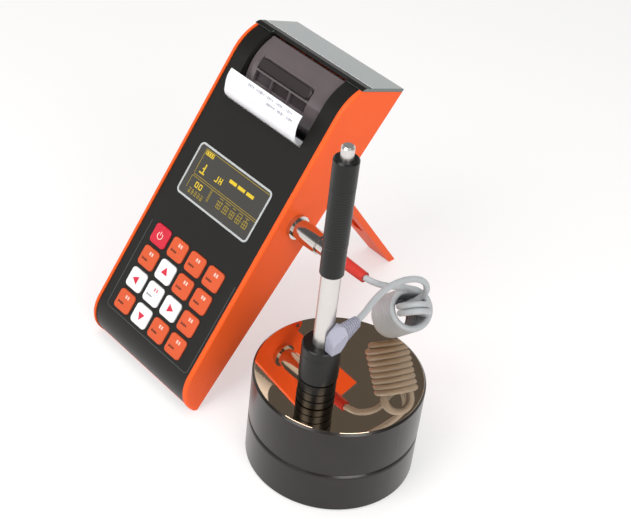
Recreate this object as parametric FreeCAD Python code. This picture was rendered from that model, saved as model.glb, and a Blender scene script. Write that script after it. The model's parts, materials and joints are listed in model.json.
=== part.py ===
"""Rebound hardness tester with a built-in printer, its impact probe and its round test block.

Millimetres, +Z up. The origin is the centre of the test block's underside. The tester stands behind
the block, and its own frame runs x to the right, y up its face and z out of its face.
"""
import FreeCAD, Part
import os
from math import asin, atan, atan2, cos, degrees, hypot, pi, radians, sin, tan
from FreeCAD import Vector

# Shared by every piece: running clearance, overlap of fused bodies, reach of the cutting tools
FIT = 0.1
RUN_FIT = 0.05
BITE = 1.0
BEYOND = 400.0
TOUCH = 0.01

# Where the tester stands and how it leans
UNIT_X = -107.5
UNIT_Y = -39.2
LEAN = 33.6

# Case
CASE_WIDTH = 86.0
SIDE_WALL = 2.5
BACK_WALL = 2.5
FACE_WALL = 2.2
FACE_HEIGHT = 19.5
FACE_REVEAL = 0.6
NOSE_ALONG = 19.5
CASE_LENGTH = 206.3
END_SETBACK = 8.0
BROW_LENGTH = 20.3
BROW_END_HEIGHT = 10.6
TOP_DROP = 18.67
FOOT_FLAT = 2.0
RIM_ROUND = 1.6
PART_GAP = 0.15
LIP_WALL = 1.5
LIP_DEPTH = 6.0
PAD_END = 34.0
PAD_START = 4.0
PAD_RISE = 2.0
PAD_NOTCH = 17.0
TOP_PANEL_WALL = 1.6
TOP_PANEL_CHAMFER = 0.4

# Display and keys
DISPLAY_WIDTH = 60.0
DISPLAY_LENGTH = 31.5
DISPLAY_DROP = 3.75
DISPLAY_LINE = 1.1
DISPLAY_LEDGE = 2.5
DISPLAY_ROUND = 3.0
WINDOW_THICK = 1.4
SIGHT_ROUND = 1.0
KEY_PITCH_Y = 14.2
KEYS_ALONG = 48.1
KEY_BRIDGE = 2.8
KEY_LENGTH = 11.8
KEY_ROUND = 2.2
KEY_PROUD = 0.9
KEY_GAP = 0.3
KEY_FLANGE = 0.6
KEY_FLANGE_THICK = 1.0
KEY_CHAMFER = 0.4

# Board, battery and screws
BOARD_DEPTH = 4.3
BOARD_THICK = 1.6
BOARD_MARGIN = 3.5
BOARD_START = 22.0
BOARD_GAP = 4.1
MAT_THICK = 2.0
MODULE_MARGIN = 1.0
BATTERY_MARGIN = 4.0
BATTERY_THICK = 8.0
BATTERY_ROUND = 1.5
DOOR_ALONG = 80.0
DOOR_WIDTH = 56.0
DOOR_LENGTH = 64.0
DOOR_LEDGE = 1.6
LEDGE_THICK = 1.0
RIB_COUNT = 3
RIB_INSET = 6.0
RIB_PITCH = 3.0
RIB_WIDTH = 1.2
RIB_REACH = 10.0
RIB_DEPTH = 0.6
SCREW_EDGE = 2.5
SCREW_LOW_INSET = 10.0
SCREW_HIGH_INSET = 6.0
SCREW_RADIUS = 1.3
SCREW_HEAD_RADIUS = 2.6
SCREW_HEAD_THICK = 1.6
SCREW_SINK = 1.0
SCREW_TIP = 2.0
SCREW_SLOT_WIDTH = 0.8
SCREW_SLOT_LENGTH = 4.0
SCREW_SLOT_DEPTH = 0.6
POST_RADIUS = 3.6
BOSS_STEP = 0.4

# Printer
PAPER_WIDTH = 57.5
PAPER_MARGIN = 1.25
COVER_GAP = 0.6
COVER_WALL = 1.6
PIN_INSET = 4.8
PIN_DROP = 2.0
PIN_RADIUS = 0.8
KNUCKLE_RADIUS = 1.8
COVER_FOOT_DEPTH = 10.7
COVER_CROWN_DEPTH = 3.9
ROLL_REACH = 13.0
ROLL_RADIUS = 11.0
ROLL_CORE = 4.0
TUB_SEAT = 0.43
TUB_GAP = 0.4
TUB_WALL = 1.5
TUB_DEPTH = 13.1
TROUGH_END = 15
FRAME_BAR = 3.0
FRAME_CORNER = 4.0
FRAME_END_GAP = 2.0
FRAME_CUT_RISE = 3.0
FRAME_CUT_RUN = 6.0
FRAME_FOOT_GAP = 0.3
PLATEN_REACH = 19.5
PLATEN_DEPTH = 16.3
PLATEN_RADIUS = 3.8
PLATEN_SHAFT = 1.2
PLATEN_END_GAP = 0.4
EAR_WALL = 1.4
EAR_REACH = 3.0
EAR_FOOT = 1.0
EAR_RISE = 2.0
NIP_GAP = 0.9
HEAD_THICK = 1.4
HEAD_DROP = 15.1
HEAD_DEPTH = 9.0
HEAD_MARGIN = 3.0
HEAD_BACKING = 1.0
SLOT_GAP = 0.3
SLIP_GAP = 0.35
SLIP_THICK = 0.25
SLIP_CURL = [(0, -6.9), (-0.95, -2.9), (-1.45, 1.1), (-0.25, 4.7), (3.05, 7.1), (7.95, 9.3), (13.35, 9.5)]
LATCH_SHIFT = 0.5
LATCH_X = -3.0
LATCH_WIDTH = 41.0
LATCH_LENGTH = 7.0
LATCH_TRAVEL = 1.5
LATCH_FIT = 0.3
LATCH_CHAMFER = 0.8
LATCH_PROUD = 1.3
LATCH_SEAT_DEPTH = 1.0
FIELD_COUNT = 3
FIELD_LENGTH = 6.5
FIELD_BRIDGE = 1.0
FIELD_DEPTH = 1.4
TEAR_TEETH = 22
TEAR_THICK = 0.4
TEAR_DEPTH = 4.0
TEAR_RISE = 0.2
TOOTH_RISE = 0.8

# Stand
STAND_SLOPE = 52.9
STAND_HINGE_ALONG = 149.2
STAND_HINGE_OFF = 3.2
STAND_THICK = 4.0
STAND_OUTER = 2.5
STAND_ARM = 2.6
STAND_WIDTH = 30.0
STAND_TIP_WIDTH = 18.0
STAND_SQUARE = 12.0
STAND_WEB = 1.6
STAND_RAIL = 4.0
STAND_WINDOW_ROUND = 3.0
STAND_WINDOW_START = 30.0
STAND_WINDOW_FOOT = 45.0
STAND_FOOT_GAP = 0.02
STAND_PIN_RADIUS = 1.5
LUG_THICK = 3.0
LUG_RADIUS = 3.4
LUG_GAP = 0.3
LUG_FLARE = 2.0

# Socket and connector on the right wall
SOCKET_RISE = 5.8
SOCKET_HEIGHT = 5.0
SOCKET_RADIUS = 7.0
SOCKET_BODY = 5.0
SOCKET_INSIDE = 7.0
FLANGE_THICK = 2.4
NUT_RIM = 1.6
NUT_THICK = 2.0
COUPLING_RADIUS = 5.6
COUPLING_LENGTH = 6.0
GRIP_RADIUS = 6.0
NOSE_RADIUS = 5.0
NOSE_LENGTH = 5.0
TIP_RADIUS = 4.0
TIP_LENGTH = 3.0
BOOT_START = 71.0
BOOT_END = 96.0
BOOT_START_RADIUS = 3.4
BOOT_END_RADIUS = 2.9

# Test block
BLOCK_RADIUS = 45.0
BLOCK_HEIGHT = 55.0
BLOCK_CHAMFER = 1.2
GROOVE_LOW = 24.5
GROOVE_WIDTH = 2.2
GROOVE_DEPTH = 1.0
GROOVE_SHOULDER = 1.5
GROOVE_TAPER = 0.4

# Impact probe, heights above the block's top
PROBE_X = 6.0
PROBE_Y = -22.5
RING_RADIUS = 9.75
RING_HEIGHT = 8.0
RING_TREAD = 6.0
RING_LIFT = 0.6
RING_MOUTH_GAP = 2.5
RING_FLARE = 2.0
RING_CHAMFER = 1.0
SPIGOT_HEIGHT = 3.0
TUBE_SEAT_GAP = 1.0
HOUSING_RADIUS = 10.0
HOUSING_START = 8.2
HOUSING_END = 36.8
HOUSING_WALL = 1.0
HOUSING_TOP_WALL = 3.0
RIM_GROOVE_TOP = 4.0
RIM_GROOVE_WIDTH = 2.5
RIM_GROOVE_DEPTH = 0.5
TURNED_CHAMFER = 0.8
COIL_GAP = 0.3
BOBBIN_FLANGE = 1.0
BOBBIN_STEP = 1.2
TUBE_RADIUS = 4.9
TUBE_BORE = 3.3
TUBE_END = 105.0
COLLAR_START = 81.0
COLLAR_THICK = 2.0
COLLAR_RADIUS = 5.5
SLEEVE_RADIUS = 6.15
SLEEVE_BORE = 5.6
SLEEVE_START = 80.5
SLEEVE_END = 145.0
SLEEVE_TOP_WALL = 2.0
SKIRT_STEP = 0.2
BAND_DEPTH = 0.15
SPRING_WIRE = 0.55
KNURL_START = 96.7
KNURL_END = 129.2
BUTTON_RADIUS = 3.2
BUTTON_RISE = 6.5
BUTTON_FLANGE_RADIUS = 4.2
BUTTON_FLANGE_THICK = 1.4
BUTTON_STEM_RADIUS = 2.4
BUTTON_STEM_LENGTH = 8.0
IMPACT_RADIUS = 2.75
IMPACT_LENGTH = 26.0
BALL_RADIUS = 1.5
BALL_STEP = 15
BALL_SHOWN = 135
HOLDER_RISE = 3.0
SHOULDER_RISE = 4.5
CATCH_TAIL = [(1.4, 4.0), (1.4, 2.0), (2.0, 1.5), (0.8, 0.0)]
TAIL_LENGTH = 5.0
CHUCK_START = 58.5
CHUCK_LENGTH = 9.0
CHUCK_MOUTH = 2.2
CHUCK_BORE = 1.2
CHUCK_FLARE = 3.0
IMPACT_WIRE = 0.6
IMPACT_SPRING_LENGTH = 20.0

# Plug on the probe
PLUG_X = 14.2
PLUG_LOW_Y = -26.0
PLUG_WIDTH = 6.0
PLUG_DEPTH = 6.5
PLUG_HEIGHT = 12.4
PLUG_CHAMFER = 1.2
PLUG_PIN_RADIUS = 1.0
PLUG_PIN_LENGTH = 2.5
RELIEF_RISE = 9.0
RELIEF_LENGTH = 16.0
RELIEF_START_RADIUS = 2.7
RELIEF_END_RADIUS = 2.1
RELIEF_CAP_RADIUS = 2.9
RELIEF_CAP_LENGTH = 1.6

# Cord
CORD_RADIUS = 1.7
COIL_RADIUS = 12.0
COIL_FAR = Vector(-10.5, 44.5, 63.6)
COIL_NEAR = Vector(9.5, 38.4, 86.0)
CORD_TURN_SHARE = 0.45
BOOT_RUN = 7.0
BOOT_ROUTE = [(0.6, 27.6, 99.4), (0.8, 35.2, 97.2), (3.2, 41.2, 93.2)]
PLUG_ROUTE = [(9.4, 7.4, 102.0), (7.6, 20.0, 105.4), (8.0, 31.0, 107.2), (10.0, 39.0, 107.0),
              (14.0, 44.4, 103.8), (14.8, 46.0, 98.4), (10.6, 43.6, 95.0), (4.9, 43.5, 90.4)]

# Sizes and places that follow from the ones above
half_width = CASE_WIDTH / 2
inner_half = half_width - SIDE_WALL
panel_half = inner_half - PART_GAP
back_slope = TOP_DROP / CASE_LENGTH
back_taper = degrees(atan(back_slope))
brow_end_along = CASE_LENGTH - END_SETBACK
brow_along = brow_end_along - BROW_LENGTH
foot_rise = FACE_HEIGHT - FOOT_FLAT * cos(radians(LEAN))
nose_run = NOSE_ALONG + FOOT_FLAT * sin(radians(LEAN))
nose_radius = (nose_run ** 2 + foot_rise ** 2) / 2 / foot_rise
brow_fall = FACE_HEIGHT - BROW_END_HEIGHT
brow_radius = (BROW_LENGTH ** 2 + brow_fall ** 2) / 2 / brow_fall
face_top = FACE_HEIGHT - FACE_REVEAL
face_under = face_top - FACE_WALL
board_top = face_under - BOARD_DEPTH
board_under = board_top - BOARD_THICK
board_half = inner_half - BOARD_MARGIN
screw_x = board_half - SCREW_EDGE
pin_along = brow_end_along - PIN_INSET
pin_height = BROW_END_HEIGHT - PIN_DROP
roll_along = pin_along - ROLL_REACH
roll_height = ROLL_RADIUS + TUB_GAP + TUB_WALL + TUB_SEAT + BACK_WALL - back_slope * roll_along
platen_along = roll_along - PLATEN_REACH
platen_height = FACE_HEIGHT - PLATEN_DEPTH
head_face = platen_along - PLATEN_RADIUS - NIP_GAP
head_top = FACE_HEIGHT - HEAD_DROP
tub_top = FACE_HEIGHT - TUB_DEPTH
bay_start = head_face - HEAD_THICK - SLOT_GAP
bay_half = PAPER_WIDTH / 2 + PAPER_MARGIN
cover_half = bay_half - COVER_GAP
platen_half = cover_half - EAR_WALL - PLATEN_END_GAP
cover_low = (platen_along - PLATEN_END_GAP, FACE_HEIGHT - COVER_FOOT_DEPTH)
cover_mid = (roll_along, FACE_HEIGHT - COVER_CROWN_DEPTH)
latch_along = roll_along - LATCH_SHIFT
board_end = bay_start - LIP_WALL - BOARD_GAP
screw_low = BOARD_START + SCREW_LOW_INSET
screw_high = board_end - SCREW_HIGH_INSET
key_pitch_x = (screw_x - POST_RADIUS - FIT) / 2
key_width = key_pitch_x - KEY_BRIDGE
keys_end = KEYS_ALONG + 1.5 * KEY_PITCH_Y + KEY_LENGTH / 2
display_along = (keys_end + bay_start) / 2 - DISPLAY_DROP
socket_along = display_along + SOCKET_RISE


def back_at(along, off=0.0):
    """Height of the back's outer plane, or of a plane off it towards the face."""
    return -back_slope * along + off


def side_point(along, height):
    """A point of the tester's side view."""
    return Vector(0, along, height)


def side_line(a, b):
    """A straight edge of a side view."""
    return Part.LineSegment(side_point(*a), side_point(*b)).toShape()


def side_arc(a, b, c):
    """An arc of a side view through three points."""
    return Part.Arc(side_point(*a), side_point(*b), side_point(*c)).toShape()


def side_polygon(points):
    """The straight edges round a side view."""
    return [side_line(a, b) for a, b in zip(points, points[1:] + points[:1])]


def spread(edges, x_low, x_high):
    """The solid of a side view between two widths."""
    face = Part.Face(Part.Wire(edges))
    solid = face.extrude(Vector(x_high - x_low, 0, 0))
    solid.translate(Vector(x_low, 0, 0))
    return solid


def box(x, y, z):
    """A box between three pairs of limits."""
    return Part.makeBox(x[1] - x[0], y[1] - y[0], z[1] - z[0], Vector(x[0], y[0], z[0]))


def rounded_plate(width, length, low, high, radius, x=0.0, y=0.0):
    """A plate with rounded corners, centred on x and y."""
    plate = box((x - width / 2, x + width / 2), (y - length / 2, y + length / 2), (low, high))
    corners = [e for e in plate.Edges if abs(e.tangentAt(e.FirstParameter).z) > 0.9]
    return plate.makeFillet(radius, corners)


def rod(radius, length, start, axis):
    """A round bar."""
    return Part.makeCylinder(radius, length, start, axis)


def across(radius, reach, along, height):
    """A round bar across the tester, as long on one side as on the other."""
    return rod(radius, 2 * reach, Vector(-reach, along, height), Vector(1, 0, 0))


def turned(profile, x=PROBE_X, y=PROBE_Y, z=BLOCK_HEIGHT):
    """A body of revolution about an upright axis from (radius, height) points."""
    points = [Vector(r, 0, h) for r, h in profile]
    wire = Part.makePolygon(points + [points[0]])
    solid = Part.Face(wire).revolve(Vector(0, 0, 0), Vector(0, 0, 1), 360)
    solid.translate(Vector(x, y, z))
    return solid


def circle_arc(centre, radius, start, end):
    """An arc of a side view about a centre, between two angles in degrees."""
    def at(angle):
        return centre[0] + radius * cos(radians(angle)), centre[1] + radius * sin(radians(angle))
    return side_arc(at(start), at((start + end) / 2), at(end)), at(start), at(end)


def on_unit(shape):
    """Lean the tester's own frame back and set its heel on the bench."""
    placed = shape.copy()
    placed.rotate(Vector(0, 0, 0), Vector(1, 0, 0), 90 - LEAN)
    placed.translate(Vector(UNIT_X, UNIT_Y, 0))
    return placed


def case_outline():
    """Side view of the case: foot flat, round nose, flat face, round brow, end and tapered back."""
    toe = (-FOOT_FLAT * sin(radians(LEAN)), FOOT_FLAT * cos(radians(LEAN)))
    nose_centre = (NOSE_ALONG, FACE_HEIGHT - nose_radius)
    toe_angle = degrees(atan2(toe[1] - nose_centre[1], toe[0] - nose_centre[0]))
    nose, nose_low, nose_high = circle_arc(nose_centre, nose_radius, toe_angle, 90)
    brow_centre = (brow_along, FACE_HEIGHT - brow_radius)
    brow_angle = degrees(asin((BROW_END_HEIGHT - brow_centre[1]) / brow_radius))
    brow, brow_low, brow_high = circle_arc(brow_centre, brow_radius, 90, brow_angle)
    crown = (CASE_LENGTH, back_at(CASE_LENGTH))
    return [side_line((0, 0), nose_low), nose, side_line(nose_high, brow_low), brow,
            side_line(brow_high, crown), side_line(crown, (0, 0))]


def inset_outline(inset):
    """The case's side view moved inwards all round."""
    face = Part.Face(Part.Wire(case_outline()))
    return face.makeOffset2D(-inset, 2).Edges


def end_point(height, inset):
    """A point of the top end's plane, or of a plane inside it, at a height."""
    slope = (CASE_LENGTH - brow_end_along) / (BROW_END_HEIGHT - back_at(CASE_LENGTH))
    along = brow_end_along + (BROW_END_HEIGHT - height) * slope - inset * hypot(1, slope)
    return along, height


def above_back(off, end_inset):
    """Side view of everything in front of a plane off the back and short of the top end."""
    low = end_point(back_at(CASE_LENGTH, off), end_inset)
    high = end_point(BEYOND, end_inset)
    return side_polygon([(-BEYOND, back_at(-BEYOND, off)), (low[0], back_at(low[0], off)), high,
                         (-BEYOND, BEYOND)])


def beyond_end(inset):
    """Side view of everything past the top end's plane, or past a plane inside it."""
    low = end_point(-CASE_WIDTH, inset)
    high = end_point(CASE_WIDTH, inset)
    return side_polygon([low, (BEYOND, low[1]), (BEYOND, high[1]), high])


def key_centre(column, row):
    """Centre of a key, columns from the left and rows from the bottom."""
    return (column - 1.5) * key_pitch_x, KEYS_ALONG + (row - 1.5) * KEY_PITCH_Y


def screw_places():
    """The four case screws."""
    return [(x, y) for x in (-screw_x, screw_x) for y in (screw_low, screw_high)]


def screw_seat(y):
    """Height of a screw head's inner face, sunk in the back."""
    return back_at(y + SCREW_HEAD_RADIUS, SCREW_HEAD_THICK + SCREW_SINK)


def upright(radius, x, y, low, high):
    """A round bar out of the tester's face, between two heights."""
    return rod(radius, high - low, Vector(x, y, low), Vector(0, 0, 1))


def foot_pads():
    """The two pads under the heel, either side of a gap."""
    outline = side_polygon([(PAD_START, back_at(PAD_START, BITE)),
                            (PAD_START + PAD_RISE, back_at(PAD_START, -PAD_RISE)),
                            (PAD_END - PAD_RISE, back_at(PAD_END, -PAD_RISE)),
                            (PAD_END, back_at(PAD_END, BITE))])
    reach = half_width - RIM_ROUND
    return [spread(outline, -reach, -PAD_NOTCH), spread(outline, PAD_NOTCH, reach)]


def rear_shell():
    """The case's tray: back wall, both side walls, foot pads, screw posts and stand lugs."""
    body = spread(case_outline(), -half_width, half_width)
    sides = [e for e in body.Edges if abs(abs(e.CenterOfMass.x) - half_width) < TOUCH]
    front = [e for e in sides if e.CenterOfMass.y < brow_end_along
             and e.CenterOfMass.z > back_at(e.CenterOfMass.y, FOOT_FLAT)]
    body = body.makeFillet(RIM_ROUND, front)
    for pad in foot_pads():
        body = body.fuse(pad)
    body = body.cut(spread(above_back(BACK_WALL, -CASE_WIDTH), -inner_half, inner_half))
    body = body.cut(spread(beyond_end(TOP_PANEL_WALL + PART_GAP), -half_width, half_width))
    inside = spread(above_back(0, BITE), -inner_half, inner_half)
    for x, y in screw_places():
        body = body.fuse(upright(POST_RADIUS, x, y, board_under - CASE_WIDTH, board_under).common(inside))
        body = body.cut(upright(SCREW_RADIUS, x, y, -CASE_WIDTH, CASE_WIDTH))
        body = body.cut(upright(SCREW_HEAD_RADIUS + FIT, x, y, -CASE_WIDTH, screw_seat(y)))
    body = body.cut(battery_door_plate(2 * FIT, BACK_WALL))
    hole = battery_door_plate(-DOOR_LEDGE, BACK_WALL + BITE)
    body = body.fuse(battery_door_plate(2 * FIT, BACK_WALL, BACK_WALL - LEDGE_THICK).cut(hole))
    for lug in stand_lugs():
        body = body.fuse(lug)
    socket = rod(SOCKET_BODY, SIDE_WALL + 2 * BITE, Vector(inner_half - BITE, socket_along, SOCKET_HEIGHT),
                 Vector(1, 0, 0))
    return on_unit(body.cut(socket).removeSplitter())


def along_back(x, along, low, high):
    """A slab on the back between two widths and two lengths, low to high off its outer plane."""
    start, end = along
    return spread(side_polygon([(start, back_at(start, low)), (end, back_at(end, low)),
                                (end, back_at(end, high)), (start, back_at(start, high))]), *x)


def battery_door_plate(grow, high, low=-BITE):
    """The door's outline grown by a clearance, between two heights off the back's outer plane."""
    half = DOOR_WIDTH / 2 + grow
    reach = DOOR_LENGTH / 2 + grow
    return along_back((-half, half), (DOOR_ALONG - reach, DOOR_ALONG + reach), low, high)


def stand_pin_place():
    """The stand's pin in the tester's frame, off the back's outer plane."""
    taper = radians(back_taper)
    along = STAND_HINGE_ALONG * cos(taper) - STAND_HINGE_OFF * sin(taper)
    height = -STAND_HINGE_ALONG * sin(taper) - STAND_HINGE_OFF * cos(taper)
    return along, height


def stand_lugs():
    """The two ears on the back that hold the stand's pin."""
    along, height = stand_pin_place()
    inside = STAND_WIDTH / 2 + LUG_GAP
    low = along - LUG_RADIUS
    high = along + LUG_RADIUS
    outline = side_polygon([(low, height), (high, height), (high + LUG_FLARE, back_at(along, BITE)),
                            (low - LUG_FLARE, back_at(along, BITE))])
    hole = across(STAND_PIN_RADIUS, inside + LUG_THICK + BITE, along, height)
    lugs = []
    for x in (-inside - LUG_THICK, inside):
        ear = rod(LUG_RADIUS, LUG_THICK, Vector(x, along, height), Vector(1, 0, 0))
        lugs.append(ear.fuse(spread(outline, x, x + LUG_THICK)).cut(hole))
    return lugs


def face_ring(depth):
    """The case's side view as a ring of a depth, open along the back."""
    outer = spread(inset_outline(FACE_REVEAL), -panel_half, panel_half)
    ring = outer.cut(spread(inset_outline(FACE_REVEAL + depth), -half_width, half_width))
    reach = FACE_REVEAL + depth + FIT
    end = CASE_LENGTH + BITE
    opening = side_polygon([(reach, back_at(reach, -BITE)), (reach, back_at(reach, reach)),
                            (end, back_at(end, reach)), (end, back_at(end, -BITE))])
    return ring.cut(spread(opening, -half_width, half_width))


def front_shell():
    """The dark face from the foot round the nose and brow, with its rails, screw bosses and openings."""
    body = face_ring(FACE_WALL)
    rail = face_ring(LIP_DEPTH)
    for x in (-panel_half, panel_half - LIP_WALL):
        strip = box((x, x + LIP_WALL), (-CASE_WIDTH, CASE_LENGTH), (-CASE_WIDTH, CASE_WIDTH))
        body = body.fuse(rail.common(strip))
    cheek = face_ring(HEAD_DEPTH)
    for x in (-bay_half - LIP_WALL, bay_half):
        wall = box((x, x + LIP_WALL), (bay_start - LIP_WALL, CASE_LENGTH), (tub_top + LUG_GAP, CASE_WIDTH))
        body = body.fuse(cheek.common(wall))
    body = body.fuse(box((-bay_half - LIP_WALL, bay_half + LIP_WALL), (bay_start - LIP_WALL, bay_start),
                         (face_top - HEAD_DEPTH, face_under)))
    body = body.cut(box((-bay_half, bay_half), (bay_start, CASE_LENGTH), (-CASE_WIDTH, CASE_WIDTH)))
    for x, y in screw_places():
        body = body.fuse(upright(POST_RADIUS - BOSS_STEP, x, y, board_top + FIT, face_under + BITE / 2))
        body = body.cut(upright(SCREW_RADIUS, x, y, board_top - BITE, board_top + SCREW_TIP + BITE))
    window = rounded_plate(DISPLAY_WIDTH + 2 * FIT, DISPLAY_LENGTH + 2 * FIT, face_top - WINDOW_THICK,
                           face_top + BITE, DISPLAY_ROUND, 0, display_along)
    sight = rounded_plate(DISPLAY_WIDTH - 2 * DISPLAY_LEDGE, DISPLAY_LENGTH - 2 * DISPLAY_LEDGE,
                          face_under - BITE, face_top, SIGHT_ROUND, 0, display_along)
    body = body.cut(window).cut(sight)
    for row in range(4):
        for column in range(4):
            x, y = key_centre(column, row)
            body = body.cut(rounded_plate(key_width + 2 * KEY_GAP, KEY_LENGTH + 2 * KEY_GAP,
                                          face_under - BITE, face_top + BITE, KEY_ROUND + KEY_GAP, x, y))
    body = body.cut(across(PIN_RADIUS, bay_half + LIP_WALL + BITE, pin_along, pin_height))
    keep = spread(above_back(BACK_WALL + PART_GAP, TOP_PANEL_WALL + PART_GAP), -panel_half, panel_half)
    return on_unit(body.common(keep).removeSplitter())


def top_panel():
    """The glossy plate that caps the top end, lowered across the bay where the cover swings."""
    plate = spread(case_outline(), -half_width, half_width)
    plate = plate.common(spread(beyond_end(TOP_PANEL_WALL), -half_width, half_width))
    broad = [face for face in plate.Faces if face.Area > CASE_WIDTH * BROW_END_HEIGHT]
    outer = max(broad, key=lambda face: face.CenterOfMass.y)
    plate = plate.makeChamfer(TOP_PANEL_CHAMFER, outer.Edges)
    swing = box((-bay_half, bay_half), (0, 2 * CASE_LENGTH), (pin_height + KNUCKLE_RADIUS, CASE_WIDTH))
    return on_unit(plate.cut(swing))


def display_line():
    """The light frame line round the display, set in the face."""
    low = face_top - WINDOW_THICK
    outer = rounded_plate(DISPLAY_WIDTH, DISPLAY_LENGTH, low, face_top + FIT, DISPLAY_ROUND, 0,
                          display_along)
    inner = rounded_plate(DISPLAY_WIDTH - 2 * DISPLAY_LINE, DISPLAY_LENGTH - 2 * DISPLAY_LINE, low - BITE,
                          face_top + BITE, DISPLAY_ROUND - DISPLAY_LINE, 0, display_along)
    return on_unit(outer.cut(inner))


def display_window():
    """The clear window inside the frame line, flush with the face."""
    shrink = 2 * DISPLAY_LINE + FIT
    return on_unit(rounded_plate(DISPLAY_WIDTH - shrink, DISPLAY_LENGTH - shrink, face_top - WINDOW_THICK,
                                 face_top, DISPLAY_ROUND - DISPLAY_LINE - FIT / 2, 0, display_along))


def display_module():
    """The display's own block, on the board behind the window."""
    width = DISPLAY_WIDTH - MODULE_MARGIN
    length = DISPLAY_LENGTH + MODULE_MARGIN
    return on_unit(box((-width / 2, width / 2), (display_along - length / 2, display_along + length / 2),
                       (board_top, face_under - FIT)))


def main_board():
    """The circuit board, on the posts, with the four screws passing through."""
    board = box((-board_half, board_half), (BOARD_START, board_end), (board_under, board_top))
    for x, y in screw_places():
        board = board.cut(upright(SCREW_RADIUS + FIT, x, y, board_under - BITE, board_top + BITE))
    return on_unit(board)


def keypad_mat():
    """The rubber mat under the keys."""
    width = 4 * key_pitch_x
    length = 4 * KEY_PITCH_Y
    mat = box((-width / 2, width / 2), (KEYS_ALONG - length / 2, KEYS_ALONG + length / 2),
              (board_top, board_top + MAT_THICK))
    return on_unit(mat)


def key(column, row):
    """One key cap: a square button with broken edges and a retaining flange under the face."""
    x, y = key_centre(column, row)
    flange_top = face_under - FIT
    top = face_top + KEY_PROUD
    cap = rounded_plate(key_width, KEY_LENGTH, flange_top, top, KEY_ROUND, x, y)
    cap = cap.makeChamfer(KEY_CHAMFER, [e for e in cap.Edges if e.BoundBox.ZMin > top - TOUCH])
    flange = box((x - key_width / 2 - KEY_FLANGE, x + key_width / 2 + KEY_FLANGE),
                 (y - KEY_LENGTH / 2 - KEY_FLANGE, y + KEY_LENGTH / 2 + KEY_FLANGE),
                 (flange_top - KEY_FLANGE_THICK, flange_top))
    return on_unit(cap.fuse(flange).removeSplitter())


def battery_pack():
    """The battery, lying in the tray on its door."""
    half = DOOR_WIDTH / 2 - BATTERY_MARGIN
    reach = DOOR_LENGTH / 2 - BATTERY_MARGIN
    pack = along_back((-half, half), (DOOR_ALONG - reach, DOOR_ALONG + reach),
                      BACK_WALL + FIT, BACK_WALL + FIT + BATTERY_THICK)
    return on_unit(pack.makeFillet(BATTERY_ROUND, [e for e in pack.Edges if e.Length > half]))


def battery_door():
    """The flush door in the back, with its finger ribs."""
    door = battery_door_plate(0, BACK_WALL - LEDGE_THICK - FIT / 2, 0.0)
    door = door.fuse(battery_door_plate(-DOOR_LEDGE - FIT, BACK_WALL, BITE))
    for step in range(RIB_COUNT):
        along = DOOR_ALONG + DOOR_LENGTH / 2 - RIB_INSET - RIB_PITCH * step
        door = door.cut(along_back((-RIB_REACH, RIB_REACH), (along, along + RIB_WIDTH), -BITE, RIB_DEPTH))
    return on_unit(door.removeSplitter())


def case_screws():
    """Four screws through the tray's posts and the board into the face's bosses."""
    screws = []
    for x, y in screw_places():
        seat = screw_seat(y)
        low = seat - SCREW_HEAD_THICK
        screw = upright(SCREW_HEAD_RADIUS, x, y, low, seat)
        screw = screw.fuse(upright(SCREW_RADIUS, x, y, seat, board_top + SCREW_TIP))
        slot = box((x - SCREW_SLOT_WIDTH / 2, x + SCREW_SLOT_WIDTH / 2),
                   (y - SCREW_SLOT_LENGTH / 2, y + SCREW_SLOT_LENGTH / 2),
                   (low - BITE, low + SCREW_SLOT_DEPTH))
        screws.append(screw.cut(slot))
    return on_unit(Part.Compound(screws))


def printer_frame():
    """The roll's tub: trough, two side plates and the cross bar that backs the print head."""
    inside = bay_half - TUB_GAP
    reach = inside + TUB_WALL / 2
    centre = (roll_along, roll_height)
    trough = ROLL_RADIUS + TUB_GAP
    outer, outer_start, outer_end = circle_arc(centre, trough + TUB_WALL, TROUGH_END - 180, -TROUGH_END)
    inner, inner_start, inner_end = circle_arc(centre, trough, TROUGH_END - 180, -TROUGH_END)
    body = spread([outer, side_line(outer_end, inner_end), inner, side_line(inner_start, outer_start)],
                  -reach, reach)
    bar_end = head_face - HEAD_THICK
    bar_start = bar_end - FRAME_BAR
    low = roll_height - ROLL_RADIUS
    end = pin_along - FRAME_END_GAP
    plate = side_polygon([(bar_start, low + FRAME_CORNER), (bar_end + FRAME_CORNER, low), (end, low),
                          (end, tub_top - FRAME_CUT_RISE), (end - FRAME_CUT_RUN, tub_top),
                          (bar_start, tub_top)])
    for x in (-inside - TUB_WALL, inside):
        body = body.fuse(spread(plate, x, x + TUB_WALL))
    width = (-inside - BITE, inside + BITE)
    body = body.fuse(box(width, (bar_start, bar_end), (head_top - HEAD_DEPTH, head_top + HEAD_BACKING)))
    foot = box(width, (bar_start, bar_end), (back_at(bar_end, BACK_WALL + FRAME_FOOT_GAP),
                                             head_top - HEAD_DEPTH + BITE / 2))
    return on_unit(body.fuse(foot).removeSplitter())


def thermal_head():
    """The print head's plate on the cross bar, facing the platen."""
    half = bay_half - HEAD_MARGIN
    return on_unit(box((-half, half), (head_face - HEAD_THICK, head_face),
                       (head_top - HEAD_DEPTH + HEAD_BACKING, head_top)))


def cover_dome(inset):
    """Side view of the cover's dome, from its low edge to the knuckle, moved in by an inset."""
    low = (cover_low[0] + inset, cover_low[1] - inset / 2)
    middle = (cover_mid[0], cover_mid[1] - inset)
    high = (pin_along, pin_height + KNUCKLE_RADIUS - inset)
    return low, middle, high


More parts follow.
